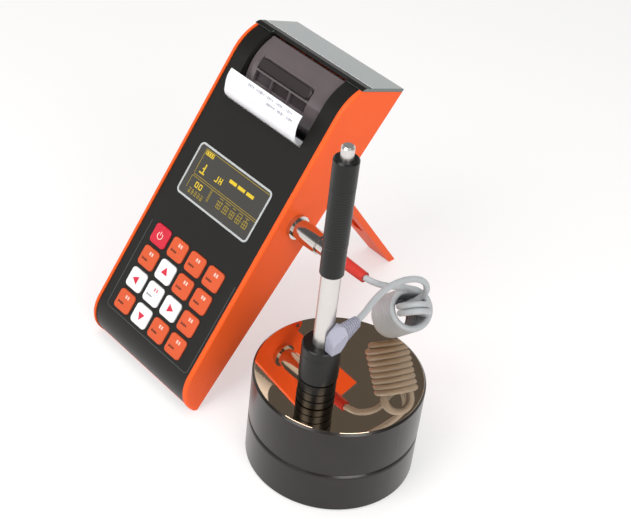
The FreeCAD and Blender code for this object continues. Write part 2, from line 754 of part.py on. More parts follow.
def printer_cover():
    """The smoked cover: a domed lid with a round knuckle, a latch pocket and ears for the platen."""
    low, middle, high = cover_dome(0)
    low_in, middle_in, high_in = cover_dome(COVER_WALL)
    body = spread([side_arc(low, middle, high), side_line(high, high_in),
                   side_arc(high_in, middle_in, low_in), side_line(low_in, low)], -cover_half, cover_half)
    body = body.fuse(across(KNUCKLE_RADIUS, cover_half, pin_along, pin_height))
    foot = platen_height - PLATEN_SHAFT - RUN_FIT - EAR_FOOT
    ear = side_polygon([(platen_along - EAR_REACH, foot), (platen_along + EAR_REACH, foot),
                        (platen_along + 2 * EAR_REACH, cover_low[1] + COVER_WALL),
                        (cover_low[0] + FIT, cover_low[1] - FIT),
                        (platen_along - EAR_REACH, platen_height + EAR_RISE)])
    inside = platen_half + PLATEN_END_GAP
    for x in (-cover_half, inside):
        body = body.fuse(spread(ear, x, x + cover_half - inside))
    body = body.cut(across(PLATEN_SHAFT + RUN_FIT, cover_half + BITE, platen_along, platen_height))
    body = body.cut(across(PIN_RADIUS + RUN_FIT, cover_half + BITE, pin_along, pin_height))
    return on_unit(body.cut(latch_pocket()).removeSplitter())


def latch_pocket():
    """The pocket in the dome: a seat for the latch bar above three finger fields."""
    half = LATCH_WIDTH / 2
    reach = LATCH_LENGTH / 2 + LATCH_FIT
    above = cover_mid[1] + LATCH_LENGTH
    pocket = box((LATCH_X - half - LATCH_FIT, LATCH_X + half + LATCH_FIT),
                 (latch_along - reach, latch_along + reach + LATCH_TRAVEL),
                 (cover_mid[1] - LATCH_SEAT_DEPTH - FIT, above))
    field = (LATCH_WIDTH - (FIELD_COUNT - 1) * FIELD_BRIDGE) / FIELD_COUNT
    field_end = latch_along - reach - FIELD_BRIDGE
    for step in range(FIELD_COUNT):
        x = LATCH_X - half + step * (field + FIELD_BRIDGE)
        floor = cover_dome_height(field_end - FIELD_LENGTH) - FIELD_DEPTH
        pocket = pocket.fuse(box((x, x + field), (field_end - FIELD_LENGTH, field_end), (floor, above)))
    return pocket


def cover_dome_height(along):
    """Height of the dome's outer face at a place along it, on its arc through three points."""
    low, middle, high = cover_dome(0)
    circle = side_arc(low, middle, high).Curve
    rise = circle.Radius ** 2 - (along - circle.Center.y) ** 2
    return circle.Center.z + rise ** 0.5


def cover_latch():
    """The cover's latch bar, crowned, lying in its seat."""
    top = cover_mid[1] + LATCH_PROUD
    bar = rounded_plate(LATCH_WIDTH, LATCH_LENGTH, cover_mid[1] - LATCH_SEAT_DEPTH, top, LATCH_LENGTH / 2.5,
                        LATCH_X, latch_along)
    rim = [e for e in bar.Edges if e.BoundBox.ZMin > top - FIT]
    return on_unit(bar.makeChamfer(LATCH_CHAMFER, rim))


def cover_pin():
    """The cover's hinge pin, pressed into both cheeks."""
    return on_unit(across(PIN_RADIUS, bay_half + LIP_WALL, pin_along, pin_height))


def platen_roller():
    """The rubber platen with a stub shaft at each end, in the cover's ears."""
    body = across(PLATEN_RADIUS, platen_half, platen_along, platen_height)
    return on_unit(body.fuse(across(PLATEN_SHAFT, cover_half - FIT, platen_along, platen_height)))


def paper_roll():
    """The part-used roll of paper with its hollow core."""
    roll = across(ROLL_RADIUS, PAPER_WIDTH / 2, roll_along, roll_height)
    return on_unit(roll.cut(across(ROLL_CORE, PAPER_WIDTH / 2 + BITE, roll_along, roll_height)))


def paper_slip():
    """The printed slip, up from the nip, out of the slot and curled back over the cover."""
    path = [side_point(head_face + SLIP_GAP + along, face_top + out) for along, out in SLIP_CURL]
    curl = [Part.Arc(*path[start:start + 3]).toShape() for start in (0, 2, 4)]
    inside = Part.Wire(curl).copy()
    inside.translate(Vector(0, SLIP_THICK / 2 ** 0.5, -SLIP_THICK / 2 ** 0.5))
    first = Part.LineSegment(path[0], inside.Vertexes[0].Point).toShape()
    last = Part.LineSegment(path[-1], inside.Vertexes[-1].Point).toShape()
    face = Part.Face(Part.Wire(Part.__sortEdges__(curl + [last] + inside.Edges + [first])))
    slip = face.extrude(Vector(PAPER_WIDTH, 0, 0))
    slip.translate(Vector(-PAPER_WIDTH / 2, 0, 0))
    return on_unit(slip)


def tear_bar():
    """The toothed strip along the slot's edge."""
    top = face_top + TEAR_RISE
    bar = box((-bay_half, bay_half), (bay_start, bay_start + TEAR_THICK), (face_top - TEAR_DEPTH, top))
    pitch = 2 * bay_half / TEAR_TEETH
    for step in range(TEAR_TEETH):
        x = -bay_half + step * pitch
        corners = [Vector(x, bay_start, top), Vector(x + pitch, bay_start, top),
                   Vector(x + pitch / 2, bay_start, top + TOOTH_RISE)]
        tooth = Part.Face(Part.makePolygon(corners + corners[:1])).extrude(Vector(0, TEAR_THICK, 0))
        bar = bar.fuse(tooth)
    return on_unit(bar.removeSplitter())


def stand_hinge():
    """The stand's pin in the row's own frame, as y and z."""
    along, height = stand_pin_place()
    lean = radians(LEAN)
    return (UNIT_Y + along * sin(lean) - height * cos(lean), along * cos(lean) + height * sin(lean))


def stand_leg():
    """The folding leg: a tapered plate with a square stop arm, cut level at its foot."""
    y, z = stand_hinge()
    slope = radians(STAND_SLOPE)
    length = (z + STAND_OUTER * cos(slope)) / sin(slope) + STAND_THICK
    half = STAND_WIDTH / 2
    tip = STAND_TIP_WIDTH / 2
    outline = [Vector(-half, -STAND_ARM, 0), Vector(half, -STAND_ARM, 0), Vector(half, STAND_SQUARE, 0),
               Vector(tip, length, 0), Vector(-tip, length, 0), Vector(-half, STAND_SQUARE, 0)]
    plate = Part.Face(Part.makePolygon(outline + outline[:1])).extrude(Vector(0, 0, STAND_THICK))
    plate.translate(Vector(0, 0, STAND_OUTER - STAND_THICK))
    window_length = length - STAND_WINDOW_START - STAND_WINDOW_FOOT
    window = rounded_plate(STAND_TIP_WIDTH - 2 * STAND_RAIL, window_length, STAND_OUTER - STAND_THICK - BITE,
                           STAND_OUTER - STAND_WEB, STAND_WINDOW_ROUND, 0,
                           STAND_WINDOW_START + window_length / 2)
    plate = plate.cut(window).cut(across(STAND_PIN_RADIUS + RUN_FIT, half + BITE, 0, 0))
    plate.rotate(Vector(0, 0, 0), Vector(1, 0, 0), -STAND_SLOPE)
    plate.translate(Vector(UNIT_X, y, z))
    bench = box((-BEYOND, BEYOND), (-BEYOND, BEYOND), (-BEYOND, STAND_FOOT_GAP))
    return plate.cut(bench)


def stand_pin():
    """The stand's hinge pin through both lugs."""
    along, height = stand_pin_place()
    return on_unit(across(STAND_PIN_RADIUS, STAND_WIDTH / 2 + LUG_GAP + LUG_THICK, along, height))


def along_socket(shapes):
    """Pieces made along +x from the right wall, set on the socket's axis."""
    body = shapes[0]
    for shape in shapes[1:]:
        body = body.fuse(shape)
    body.translate(Vector(half_width, socket_along, SOCKET_HEIGHT))
    return on_unit(body)


def barrel(radius, start, end):
    """A round length along the socket's axis, measured from the wall."""
    return rod(radius, end - start, Vector(start, 0, 0), Vector(1, 0, 0))


def probe_socket():
    """The socket: body through the wall, outer flange ring and inner nut."""
    nut = barrel(SOCKET_BODY + NUT_RIM, -SIDE_WALL - NUT_THICK, -SIDE_WALL)
    return along_socket([barrel(SOCKET_BODY, -SOCKET_INSIDE, 0), nut,
                         barrel(SOCKET_RADIUS, 0, FLANGE_THICK)])


def probe_connector():
    """The stepped plug in the socket: coupling ring, grip and nose."""
    end = BOOT_START - half_width
    grip_start = FLANGE_THICK + COUPLING_LENGTH
    tip_start = end - TIP_LENGTH
    nose_start = tip_start - NOSE_LENGTH
    return along_socket([barrel(COUPLING_RADIUS, FLANGE_THICK, grip_start),
                         barrel(GRIP_RADIUS, grip_start, nose_start),
                         barrel(NOSE_RADIUS, nose_start, tip_start), barrel(TIP_RADIUS, tip_start, end)])


def cable_boot():
    """The tapered bend relief on the connector."""
    return along_socket([Part.makeCone(BOOT_START_RADIUS, BOOT_END_RADIUS, BOOT_END - BOOT_START,
                                       Vector(BOOT_START - half_width, 0, 0), Vector(1, 0, 0))])


def boot_exit():
    """Where the cord leaves the boot, in the row's own frame."""
    lean = radians(LEAN)
    y = UNIT_Y + socket_along * sin(lean) - SOCKET_HEIGHT * cos(lean)
    z = socket_along * cos(lean) + SOCKET_HEIGHT * sin(lean)
    return Vector(UNIT_X + BOOT_END, y, z)


def test_block():
    """The round test block with its chamfers and the groove round its middle."""
    edge = BLOCK_RADIUS - BLOCK_CHAMFER
    floor = BLOCK_RADIUS - GROOVE_DEPTH
    high = GROOVE_LOW + GROOVE_WIDTH
    return turned([(0, 0), (edge, 0), (BLOCK_RADIUS, BLOCK_CHAMFER),
                   (BLOCK_RADIUS, GROOVE_LOW - GROOVE_SHOULDER),
                   (BLOCK_RADIUS - GROOVE_DEPTH / 4, GROOVE_LOW - GROOVE_SHOULDER / 3),
                   (floor, GROOVE_LOW + GROOVE_TAPER), (floor, high - GROOVE_TAPER), (BLOCK_RADIUS, high),
                   (BLOCK_RADIUS, BLOCK_HEIGHT - BLOCK_CHAMFER), (edge, BLOCK_HEIGHT), (0, BLOCK_HEIGHT)], 0,
                   0, 0)


def support_ring():
    """The ring that stands on the work, with a spigot into the coil housing."""
    spigot = HOUSING_RADIUS - HOUSING_WALL - FIT
    spigot_end = RING_HEIGHT + SPIGOT_HEIGHT
    seat = TUBE_RADIUS + TUBE_SEAT_GAP
    mouth = BALL_RADIUS + RING_MOUTH_GAP
    return turned([(mouth, RING_LIFT), (RING_TREAD, 0), (RING_RADIUS - RING_CHAMFER, 0),
                   (RING_RADIUS, RING_CHAMFER),
                   (RING_RADIUS, RING_HEIGHT), (spigot, RING_HEIGHT), (spigot, spigot_end),
                   (seat, spigot_end),
                   (seat, RING_HEIGHT), (mouth, RING_HEIGHT - RING_FLARE)])


def coil_housing():
    """The housing over the pick-up coil, with a turned rim groove and the plug's socket hole."""
    inner = HOUSING_RADIUS - HOUSING_WALL
    ledge = HOUSING_END - HOUSING_TOP_WALL
    high = HOUSING_END - RIM_GROOVE_TOP
    low = high - RIM_GROOVE_WIDTH
    floor = HOUSING_RADIUS - RIM_GROOVE_DEPTH
    body = turned([(inner, HOUSING_START), (HOUSING_RADIUS, HOUSING_START), (HOUSING_RADIUS, low),
                   (floor, low + RIM_GROOVE_DEPTH), (floor, high - RIM_GROOVE_DEPTH), (HOUSING_RADIUS, high),
                   (HOUSING_RADIUS, HOUSING_END - TURNED_CHAMFER),
                   (HOUSING_RADIUS - TURNED_CHAMFER, HOUSING_END),
                   (TUBE_RADIUS, HOUSING_END), (TUBE_RADIUS, ledge), (inner, ledge)])
    return body.cut(plug_pin())


def pickup_coil():
    """The coil on its bobbin, round the guide tube inside the housing."""
    low = RING_HEIGHT + SPIGOT_HEIGHT + 2 * FIT
    high = HOUSING_END - HOUSING_TOP_WALL - 2 * FIT
    outer = HOUSING_RADIUS - HOUSING_WALL - COIL_GAP
    winding = outer - BOBBIN_STEP
    return turned([(TUBE_RADIUS, low), (outer, low), (outer, low + BOBBIN_FLANGE),
                   (winding, low + BOBBIN_FLANGE),
                   (winding, high - BOBBIN_FLANGE), (outer, high - BOBBIN_FLANGE), (outer, high),
                   (TUBE_RADIUS, high)])


def guide_tube():
    """The bright tube that guides the impact body, with the spring's collar."""
    low = RING_HEIGHT + 2 * FIT
    collar_end = COLLAR_START + COLLAR_THICK
    return turned([(TUBE_BORE, low), (TUBE_RADIUS, low), (TUBE_RADIUS, COLLAR_START),
                   (COLLAR_RADIUS, COLLAR_START), (COLLAR_RADIUS, collar_end), (TUBE_RADIUS, collar_end),
                   (TUBE_RADIUS, TUBE_END), (TUBE_BORE, TUBE_END)])


def loading_sleeve():
    """The grip that slides down the tube to load the probe, with a turned band for the fingers."""
    band = SLEEVE_RADIUS - BAND_DEPTH
    skirt = SLEEVE_RADIUS - SKIRT_STEP
    roof = SLEEVE_END - SLEEVE_TOP_WALL
    hole = BUTTON_RADIUS + RUN_FIT
    return turned([(SLEEVE_BORE, SLEEVE_START), (skirt, SLEEVE_START), (skirt, KNURL_START),
                   (band, KNURL_START + SKIRT_STEP), (band, KNURL_END),
                   (SLEEVE_RADIUS, KNURL_END + SKIRT_STEP),
                   (SLEEVE_RADIUS, SLEEVE_END - TURNED_CHAMFER),
                   (SLEEVE_RADIUS - TURNED_CHAMFER, SLEEVE_END),
                   (hole, SLEEVE_END), (hole, roof), (SLEEVE_BORE, roof)])


def release_button():
    """The button on the sleeve's end, held by its flange, with its stem down the bore."""
    roof = SLEEVE_END - SLEEVE_TOP_WALL - FIT
    flange = roof - BUTTON_FLANGE_THICK
    stem_end = roof - BUTTON_STEM_LENGTH
    top = SLEEVE_END + BUTTON_RISE
    return turned([(0, stem_end), (BUTTON_STEM_RADIUS, stem_end), (BUTTON_STEM_RADIUS, flange),
                   (BUTTON_FLANGE_RADIUS, flange), (BUTTON_FLANGE_RADIUS, roof), (BUTTON_RADIUS, roof),
                   (BUTTON_RADIUS, top - TURNED_CHAMFER), (BUTTON_RADIUS - TURNED_CHAMFER, top), (0, top)])


def loading_spring():
    """The loading spring's outline between the tube's collar and the sleeve's roof."""
    low = COLLAR_START + COLLAR_THICK + FIT
    high = SLEEVE_END - SLEEVE_TOP_WALL - FIT
    inner = SLEEVE_BORE - FIT - SPRING_WIRE
    return turned([(inner, low), (SLEEVE_BORE - FIT, low), (SLEEVE_BORE - FIT, high), (inner, high)])


def impact_body():
    """The impact body with its hard ball, just above the work."""
    low = 2 * FIT
    angles = [radians(a) for a in range(0, BALL_SHOWN + 1, BALL_STEP)]
    ball = [(BALL_RADIUS * sin(a), low + BALL_RADIUS - BALL_RADIUS * cos(a)) for a in angles]
    shaft = [(ball[-1][0], low + HOLDER_RISE), (IMPACT_RADIUS, low + SHOULDER_RISE),
             (IMPACT_RADIUS, IMPACT_LENGTH - TAIL_LENGTH)]
    tail = [(radius, IMPACT_LENGTH - below) for radius, below in CATCH_TAIL]
    return turned(ball + shaft + tail + [(0, IMPACT_LENGTH)])


def catch_chuck():
    """The collet that holds the raised impact body by its tail."""
    end = CHUCK_START + CHUCK_LENGTH
    return turned([(CHUCK_MOUTH, CHUCK_START), (TUBE_BORE, CHUCK_START), (TUBE_BORE, end), (CHUCK_BORE, end),
                   (CHUCK_BORE, CHUCK_START + CHUCK_FLARE)])


def impact_spring():
    """The impact spring's outline above the collet, inside the tube."""
    low = CHUCK_START + CHUCK_LENGTH
    high = low + IMPACT_SPRING_LENGTH
    outer = TUBE_BORE - FIT
    inner = outer - IMPACT_WIRE
    return turned([(inner, low), (outer, low), (outer, high), (inner, high)])


def plug_pin():
    """The plug's pin in the housing's socket hole."""
    place = Vector(PLUG_X, PLUG_LOW_Y + PLUG_DEPTH / 2, BLOCK_HEIGHT + HOUSING_END - PLUG_PIN_LENGTH)
    return rod(PLUG_PIN_RADIUS, PLUG_PIN_LENGTH, place, Vector(0, 0, 1))


def probe_plug():
    """The right-angled plug on the housing: a faceted body with its pin."""
    low = BLOCK_HEIGHT + HOUSING_END
    high = low + PLUG_HEIGHT
    body = box((PLUG_X - PLUG_WIDTH / 2, PLUG_X + PLUG_WIDTH / 2), (PLUG_LOW_Y, PLUG_LOW_Y + PLUG_DEPTH),
               (low, high))
    outside = [e for e in body.Edges if e.BoundBox.YMax < PLUG_LOW_Y + FIT or e.BoundBox.ZMin > high - FIT]
    faceted = [e for e in outside if e.BoundBox.ZMin > low + FIT or e.Length > PLUG_WIDTH]
    return body.makeChamfer(PLUG_CHAMFER, faceted).fuse(plug_pin())


def relief_start():
    """Where the plug's bend relief begins."""
    return Vector(PLUG_X, PLUG_LOW_Y + PLUG_DEPTH, BLOCK_HEIGHT + HOUSING_END + RELIEF_RISE)


def relief_direction():
    """The way the plug's bend relief points: back and a little inwards."""
    return Vector(*PLUG_ROUTE[0]).sub(relief_start()).normalize()


def plug_relief():
    """The bend relief on the plug, with a collar where it begins."""
    axis = relief_direction()
    start = relief_start()
    body = Part.makeCone(RELIEF_START_RADIUS, RELIEF_END_RADIUS, RELIEF_LENGTH, start, axis)
    collar_start = start.sub(Vector(axis).multiply(RELIEF_CAP_LENGTH / 2))
    body = body.fuse(rod(RELIEF_CAP_RADIUS, RELIEF_CAP_LENGTH, collar_start, axis))
    plug_side = box((-BEYOND, BEYOND), (-BEYOND, PLUG_LOW_Y + PLUG_DEPTH), (0, BEYOND))
    return body.cut(plug_side).removeSplitter()


def cord_tube(name, points):
    """A cord's tube: straight runs joined by tangent arcs, each as large as its runs allow."""
    edges = []
    last = points[0]
    radii = []
    for before, corner, after in zip(points, points[1:], points[2:]):
        back = before.sub(corner)
        ahead = after.sub(corner)
        turn = pi - back.getAngle(ahead)
        cut_back = CORD_TURN_SHARE * min(back.Length, ahead.Length)
        radii.append(cut_back / tan(turn / 2))
        back.normalize()
        ahead.normalize()
        start = corner.add(Vector(back).multiply(cut_back))
        end = corner.add(Vector(ahead).multiply(cut_back))
        inwards = back.add(ahead).normalize()
        middle = corner.add(Vector(inwards).multiply(radii[-1] / cos(turn / 2) - radii[-1]))
        edges.append(Part.LineSegment(last, start).toShape())
        edges.append(Part.Arc(start, middle, end).toShape())
        last = end
    edges.append(Part.LineSegment(last, points[-1]).toShape())
    path = Part.Wire(edges)
    section = Part.Wire(Part.Circle(points[0], points[1].sub(points[0]), CORD_RADIUS).toShape())
    tube = path.makePipeShell([section], True, True)
    print(name, "length %.1f radii" % path.Length, ["%.1f" % r for r in radii],
          "volume ratio %.4f" % (tube.Volume / (pi * CORD_RADIUS ** 2 * path.Length)))
    return tube


def cord_from_tester():
    """The cord's short tail from the boot to the coil."""
    start = boot_exit()
    ahead = start.add(Vector(BOOT_RUN, 0, 0))
    return cord_tube("cord_from_tester", [start, ahead] + [Vector(*p) for p in BOOT_ROUTE])


def cord_from_probe():
    """The cord's tail from the plug's relief to the coil's near end."""
    start = relief_start().add(relief_direction().multiply(RELIEF_LENGTH))
    return cord_tube("cord_from_probe", [start] + [Vector(*p) for p in PLUG_ROUTE])


def cord_coil():
    """The outer shape of the cord's coiled middle."""
    axis = COIL_NEAR.sub(COIL_FAR)
    return rod(COIL_RADIUS, axis.Length, COIL_FAR, axis)


KEY_NAMES = [["key_setup", "key_down", "key_print", "key_clear"],
             ["key_left", "key_enter", "key_right", "key_average"],
             ["key_material", "key_up", "key_scale", "key_store"],
             ["key_power", "key_direction", "key_device", "key_light"]]


def build():
    """Every piece by the name of its node."""
    pieces = {"rear_shell": rear_shell(), "front_shell": front_shell(), "top_panel": top_panel(),
              "display_line": display_line(), "display_window": display_window(),
              "display_module": display_module(), "main_board": main_board(), "keypad_mat": keypad_mat(),
              "battery_pack": battery_pack(), "battery_door": battery_door(), "case_screws": case_screws(),
              "printer_frame": printer_frame(), "thermal_head": thermal_head(),
              "printer_cover": printer_cover(),
              "cover_latch": cover_latch(), "cover_pin": cover_pin(), "platen_roller": platen_roller(),
              "paper_roll": paper_roll(), "paper_slip": paper_slip(), "tear_bar": tear_bar(),
              "stand_leg": stand_leg(), "stand_pin": stand_pin(), "probe_socket": probe_socket(),
              "probe_connector": probe_connector(), "cable_boot": cable_boot(),
              "cord_from_tester": cord_from_tester(), "cord_coil": cord_coil(),
              "cord_from_probe": cord_from_probe(), "probe_plug": probe_plug(), "plug_relief": plug_relief(),
              "release_button": release_button(), "loading_sleeve": loading_sleeve(),
              "loading_spring": loading_spring(), "guide_tube": guide_tube(), "coil_housing": coil_housing(),
              "pickup_coil": pickup_coil(), "support_ring": support_ring(), "impact_body": impact_body(),
              "catch_chuck": catch_chuck(), "impact_spring": impact_spring(), "test_block": test_block()}
    for row, names in enumerate(KEY_NAMES):
        for column, name in enumerate(names):
            pieces[name] = key(column, row)
    return pieces


def main():
    """Write one file for each piece."""
    os.makedirs("parts", exist_ok=True)
    for name, shape in build().items():
        shape.exportStep("parts/" + name + ".step")
        print(name, "solids", len(shape.Solids), "valid", shape.isValid(), "volume %.1f" % shape.Volume)


if __name__ == "__main__":
    main()
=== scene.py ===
"""Rebound hardness tester with its built-in printer, impact probe and test block, dressed for rendering.

The tester's own frame runs x across its face, along up its face and out away from it, in millimetres.
Everything that is handed to Blender is in the row frame, in metres.
"""
import json
import logging
import math
from dataclasses import dataclass
from enum import Enum
from typing import Any, Optional, Sequence

import bpy
import numpy as np
from mathutils import Matrix

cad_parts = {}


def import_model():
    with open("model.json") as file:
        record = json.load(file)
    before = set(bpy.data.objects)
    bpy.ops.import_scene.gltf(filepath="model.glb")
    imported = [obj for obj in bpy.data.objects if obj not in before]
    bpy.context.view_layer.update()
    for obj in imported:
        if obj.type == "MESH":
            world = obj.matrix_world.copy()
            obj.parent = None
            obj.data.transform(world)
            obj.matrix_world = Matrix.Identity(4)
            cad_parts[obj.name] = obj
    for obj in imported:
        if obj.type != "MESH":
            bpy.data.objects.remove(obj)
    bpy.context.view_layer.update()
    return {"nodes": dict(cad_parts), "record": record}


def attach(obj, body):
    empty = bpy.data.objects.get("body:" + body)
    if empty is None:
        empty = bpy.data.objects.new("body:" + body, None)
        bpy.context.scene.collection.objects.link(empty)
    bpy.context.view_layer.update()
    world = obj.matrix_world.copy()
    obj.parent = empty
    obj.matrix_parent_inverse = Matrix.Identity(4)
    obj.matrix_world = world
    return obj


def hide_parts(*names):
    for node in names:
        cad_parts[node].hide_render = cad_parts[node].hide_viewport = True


LOG = logging.getLogger("hardness_tester")
Array = np.ndarray
Point = tuple[float, float, float]
Socket = bpy.types.NodeSocket
Tree = bpy.types.NodeTree
Piece = bpy.types.Object
Pair = tuple[float, float]
Row = tuple[float, ...]
Rows = tuple[Row, ...]
MM = 0.001
WHITE = (1.0, 1.0, 1.0, 1.0)


class Body(Enum):
    """The bodies that pieces ride on."""

    TESTER = "tester"
    COVER = "cover"
    SLEEVE = "sleeve"


class Legend(Enum):
    """What is printed on a key, with the key that has it; all the other keys have plain bars."""

    TRIANGLE_LEFT = "key_left"
    TRIANGLE_RIGHT = "key_right"
    TRIANGLE_UP = "key_up"
    TRIANGLE_DOWN = "key_down"
    POWER = "key_power"
    RED_BARS = "key_enter"
    BARS = "others"


def linear(code: str) -> tuple[float, float, float, float]:
    """Turn an sRGB hex colour to linear light.

    Args:
        code: Six hex digits, with or without a leading hash.

    Returns:
        Linear red, green, blue and an alpha of 1.
    """
    digits = code.lstrip("#")
    parts = [int(digits[i:i + 2], 16) / 255 for i in (0, 2, 4)]
    red, green, blue = [c / 12.92 if c <= 0.04045 else ((c + 0.055) / 1.055) ** 2.4 for c in parts]
    return red, green, blue, 1.0


def add(tree: Tree, kind: str, inputs: Optional[dict[Any, Any]] = None,
        **settings: Any) -> bpy.types.Node:
    """Add a node with its settings, values and links.

    Args:
        tree: The material's or world's node tree.
        kind: The node's Blender type name after its "ShaderNode".
        inputs: Values or sockets by input name or index.
        settings: Properties of the node itself.

    Returns:
        The new node.
    """
    node = tree.nodes.new(f"ShaderNode{kind}")
    for name, value in settings.items():
        setattr(node, name, value)
    for name, value in (inputs or {}).items():
        if isinstance(value, Socket):
            tree.links.new(value, node.inputs[name])
        else:
            node.inputs[name].default_value = value
    return node


def fresh_material(name: str) -> tuple[bpy.types.Material, Tree]:
    """Make a material whose node tree is empty.

    Args:
        name: The material's name.

    Returns:
        The material and its tree.
    """
    made = bpy.data.materials.new(name)
    made.use_nodes = True
    made.node_tree.nodes.clear()
    return made, made.node_tree


def in_scene(name: str, data: bpy.types.ID) -> Piece:
    """Make an object of some data, at the origin, and link it into the scene.

    Args:
        name: The object's name.
        data: Its mesh, curve, lamp or camera.

    Returns:
        The new object.
    """
    made = bpy.data.objects.new(name, data)
    bpy.context.scene.collection.objects.link(made)
    return made


def mesh_object(name: str, points: Array, faces: list[Sequence[int]],
                smooth: bool = True) -> Piece:
    """Make an object at the origin from points in metres and faces.

    Args:
        name: The piece's name.
        points: Points, one per row.
        faces: Corner numbers of each face.
        smooth: Whether its faces are shaded smooth.

    Returns:
        The new object.
    """
    mesh = bpy.data.meshes.new(name)
    mesh.from_pydata(points.tolist(), [], faces)
    mesh.validate()
    mesh.polygons.foreach_set("use_smooth", np.full(len(mesh.polygons), smooth))
    mesh.update()
    return in_scene(name, mesh)


def grid_faces(rows: int, columns: int, close_rows: bool, close_columns: bool) -> Array:
    """Corner numbers of the quads of a grid of points, rows by columns.

    Args:
        rows: Points along the first parameter.
        columns: Points along the second parameter.
        close_rows: Whether the last row joins the first.
        close_columns: Whether the last column joins the first.

    Returns:
        An array of quads.
    """
    i, j = np.meshgrid(np.arange(rows if close_rows else rows - 1),
                       np.arange(columns if close_columns else columns - 1), indexing="ij")
    i_next = (i + 1) % rows
    j_next = (j + 1) % columns
    return np.stack([i * columns + j, i * columns + j_next, i_next * columns + j_next, i_next * columns + j],
                    axis=-1).reshape(-1, 4)


def turned(name: str, profile: Array, start: Array, axis: Array, segments: int,
           smooth: bool = True) -> Piece:
    """A closed body of revolution: each profile point (radius, height) is carried round the axis.

    Args:
        name: The piece's name.
        profile: Radius and height pairs in metres, a closed loop, not touching the axis.
        start: The point on the axis at height zero.
        axis: The axis direction.
        segments: Steps round the axis.
        smooth: Whether it is shaded smooth.

    Returns:
        The new object.
    """
    along = axis / np.linalg.norm(axis)
    side = np.cross(along, (0.0, 0.0, 1.0) if abs(along[2]) < 0.9 else (1.0, 0.0, 0.0))
    side /= np.linalg.norm(side)
    other = np.cross(along, side)
    angle = np.linspace(0, 2 * math.pi, segments, endpoint=False)
    round_part = np.cos(angle)[:, None] * side + np.sin(angle)[:, None] * other
    points = start + profile[None, :, 1, None] * along + profile[None, :, 0, None] * round_part[:, None, :]
    faces = grid_faces(segments, len(profile), True, True).tolist()
    made = mesh_object(name, points.reshape(-1, 3), faces, smooth)
    outwards(made)
    return made


def outwards(piece: Piece) -> None:
    """Turn a closed mesh the right way out, by the sign of its volume.

    Args:
        piece: The object whose faces may be flipped.
    """
    mesh = piece.data
    mesh.calc_loop_triangles()
    corners = np.empty(len(mesh.loop_triangles) * 3, dtype=np.int32)
    mesh.loop_triangles.foreach_get("vertices", corners)
    points = np.empty(len(mesh.vertices) * 3)
    mesh.vertices.foreach_get("co", points)
    a, b, c = points.reshape(-1, 3)[corners.reshape(-1, 3)].transpose(1, 0, 2)
    if np.einsum("ij,ij->i", a, np.cross(b, c)).sum() < 0:
        mesh.flip_normals()


@dataclass(frozen=True)
class Seat:
    """Where the tester stands: its heel's place in the row frame, in millimetres, and its lean."""

    x: float = -107.5
    y: float = -39.2
    lean: float = math.radians(33.6)

    def row(self, points: Array) -> Array:
        """Turn points of the tester's frame to the row frame: along and out are turned by the lean.

        Args:
            points: Rows of (x, along, out) in millimetres.

        Returns:
            Rows of (x, y, z) in metres.
        """
        x, along, out = np.asarray(points, dtype=float).T
        s, c = math.sin(self.lean), math.cos(self.lean)
        return np.stack([self.x + x, self.y + along * s - out * c, along * c + out * s], axis=-1) * MM


SEAT = Seat()
FACE_TOP = 18.9
PROBE_AXIS = (6.0, -22.5)
UP = np.array((0.0, 0.0, 1.0))
ARC_STEPS = 24
BLOCK_SIDES = np.array([(3, 2, 1, 0), (4, 5, 6, 7), (0, 1, 5, 4), (1, 2, 6, 5), (2, 3, 7, 6), (3, 0, 4, 7)])


def flat_marks(name: str, outlines: list[Array], out: float, rise: float) -> Piece:
    """Thin printed marks: each outline in (x, along) becomes a low prism standing on the surface.

    Args:
        name: The piece's name.
        outlines: Closed outlines in millimetres, each run anticlockwise.
        out: Height of the surface that they stand on.
        rise: Thickness of the print.

    Returns:
        One object of all the marks.
    """
    points: list[Array] = []
    faces: list[Sequence[int]] = []
    base = 0
    for outline in outlines:
        n = len(outline)
        low = np.column_stack([outline, np.full(n, out)])
        high = np.column_stack([outline, np.full(n, out + rise)])
        points += [low, high]
        faces.append([base + n + k for k in range(n)])
        faces.append([base + n - 1 - k for k in range(n)])
        faces += [[base + k, base + (k + 1) % n, base + n + (k + 1) % n, base + n + k] for k in range(n)]
        base += 2 * n
    return mesh_object(name, SEAT.row(np.concatenate(points)), faces, smooth=False)


def blocks(name: str, corners: list[Array]) -> Piece:
    """One object of small blocks.

    Args:
        name: The piece's name.
        corners: Each block's eight corners in the tester's frame: four round one side, then the four
            across from them.

    Returns:
        The new object.
    """
    faces = (BLOCK_SIDES[None] + 8 * np.arange(len(corners))[:, None, None]).reshape(-1, 4)
    made = mesh_object(name, SEAT.row(np.concatenate(corners)), faces.tolist(), smooth=False)
    outwards(made)
    return made


def bar(x: float, along: float, width: float, length: float) -> Array:
    """A rectangle's outline about its centre, run anticlockwise."""
    return np.array([(x - width / 2, along - length / 2), (x + width / 2, along - length / 2),
                     (x + width / 2, along + length / 2), (x - width / 2, along + length / 2)])


def ring_part(x: float, along: float, radius: float, width: float, start: float, end: float) -> Array:
    """A part of a flat ring about (x, along): out along one arc and back along the other.

    Args:
        x: The ring's centre across the face.
        along: The ring's centre along the face.
        radius: The radius of the ring's middle line.
        width: The ring's width.
        start: The first angle in degrees.
        end: The last angle in degrees.

    Returns:
        The outline, in millimetres.
    """
    angle = np.radians(np.linspace(start, end, ARC_STEPS))
    outer = np.column_stack([np.cos(angle), np.sin(angle)]) * (radius + width / 2)
    inner = np.column_stack([np.cos(angle), np.sin(angle)])[::-1] * (radius - width / 2)
    return np.concatenate([outer, inner]) + (x, along)


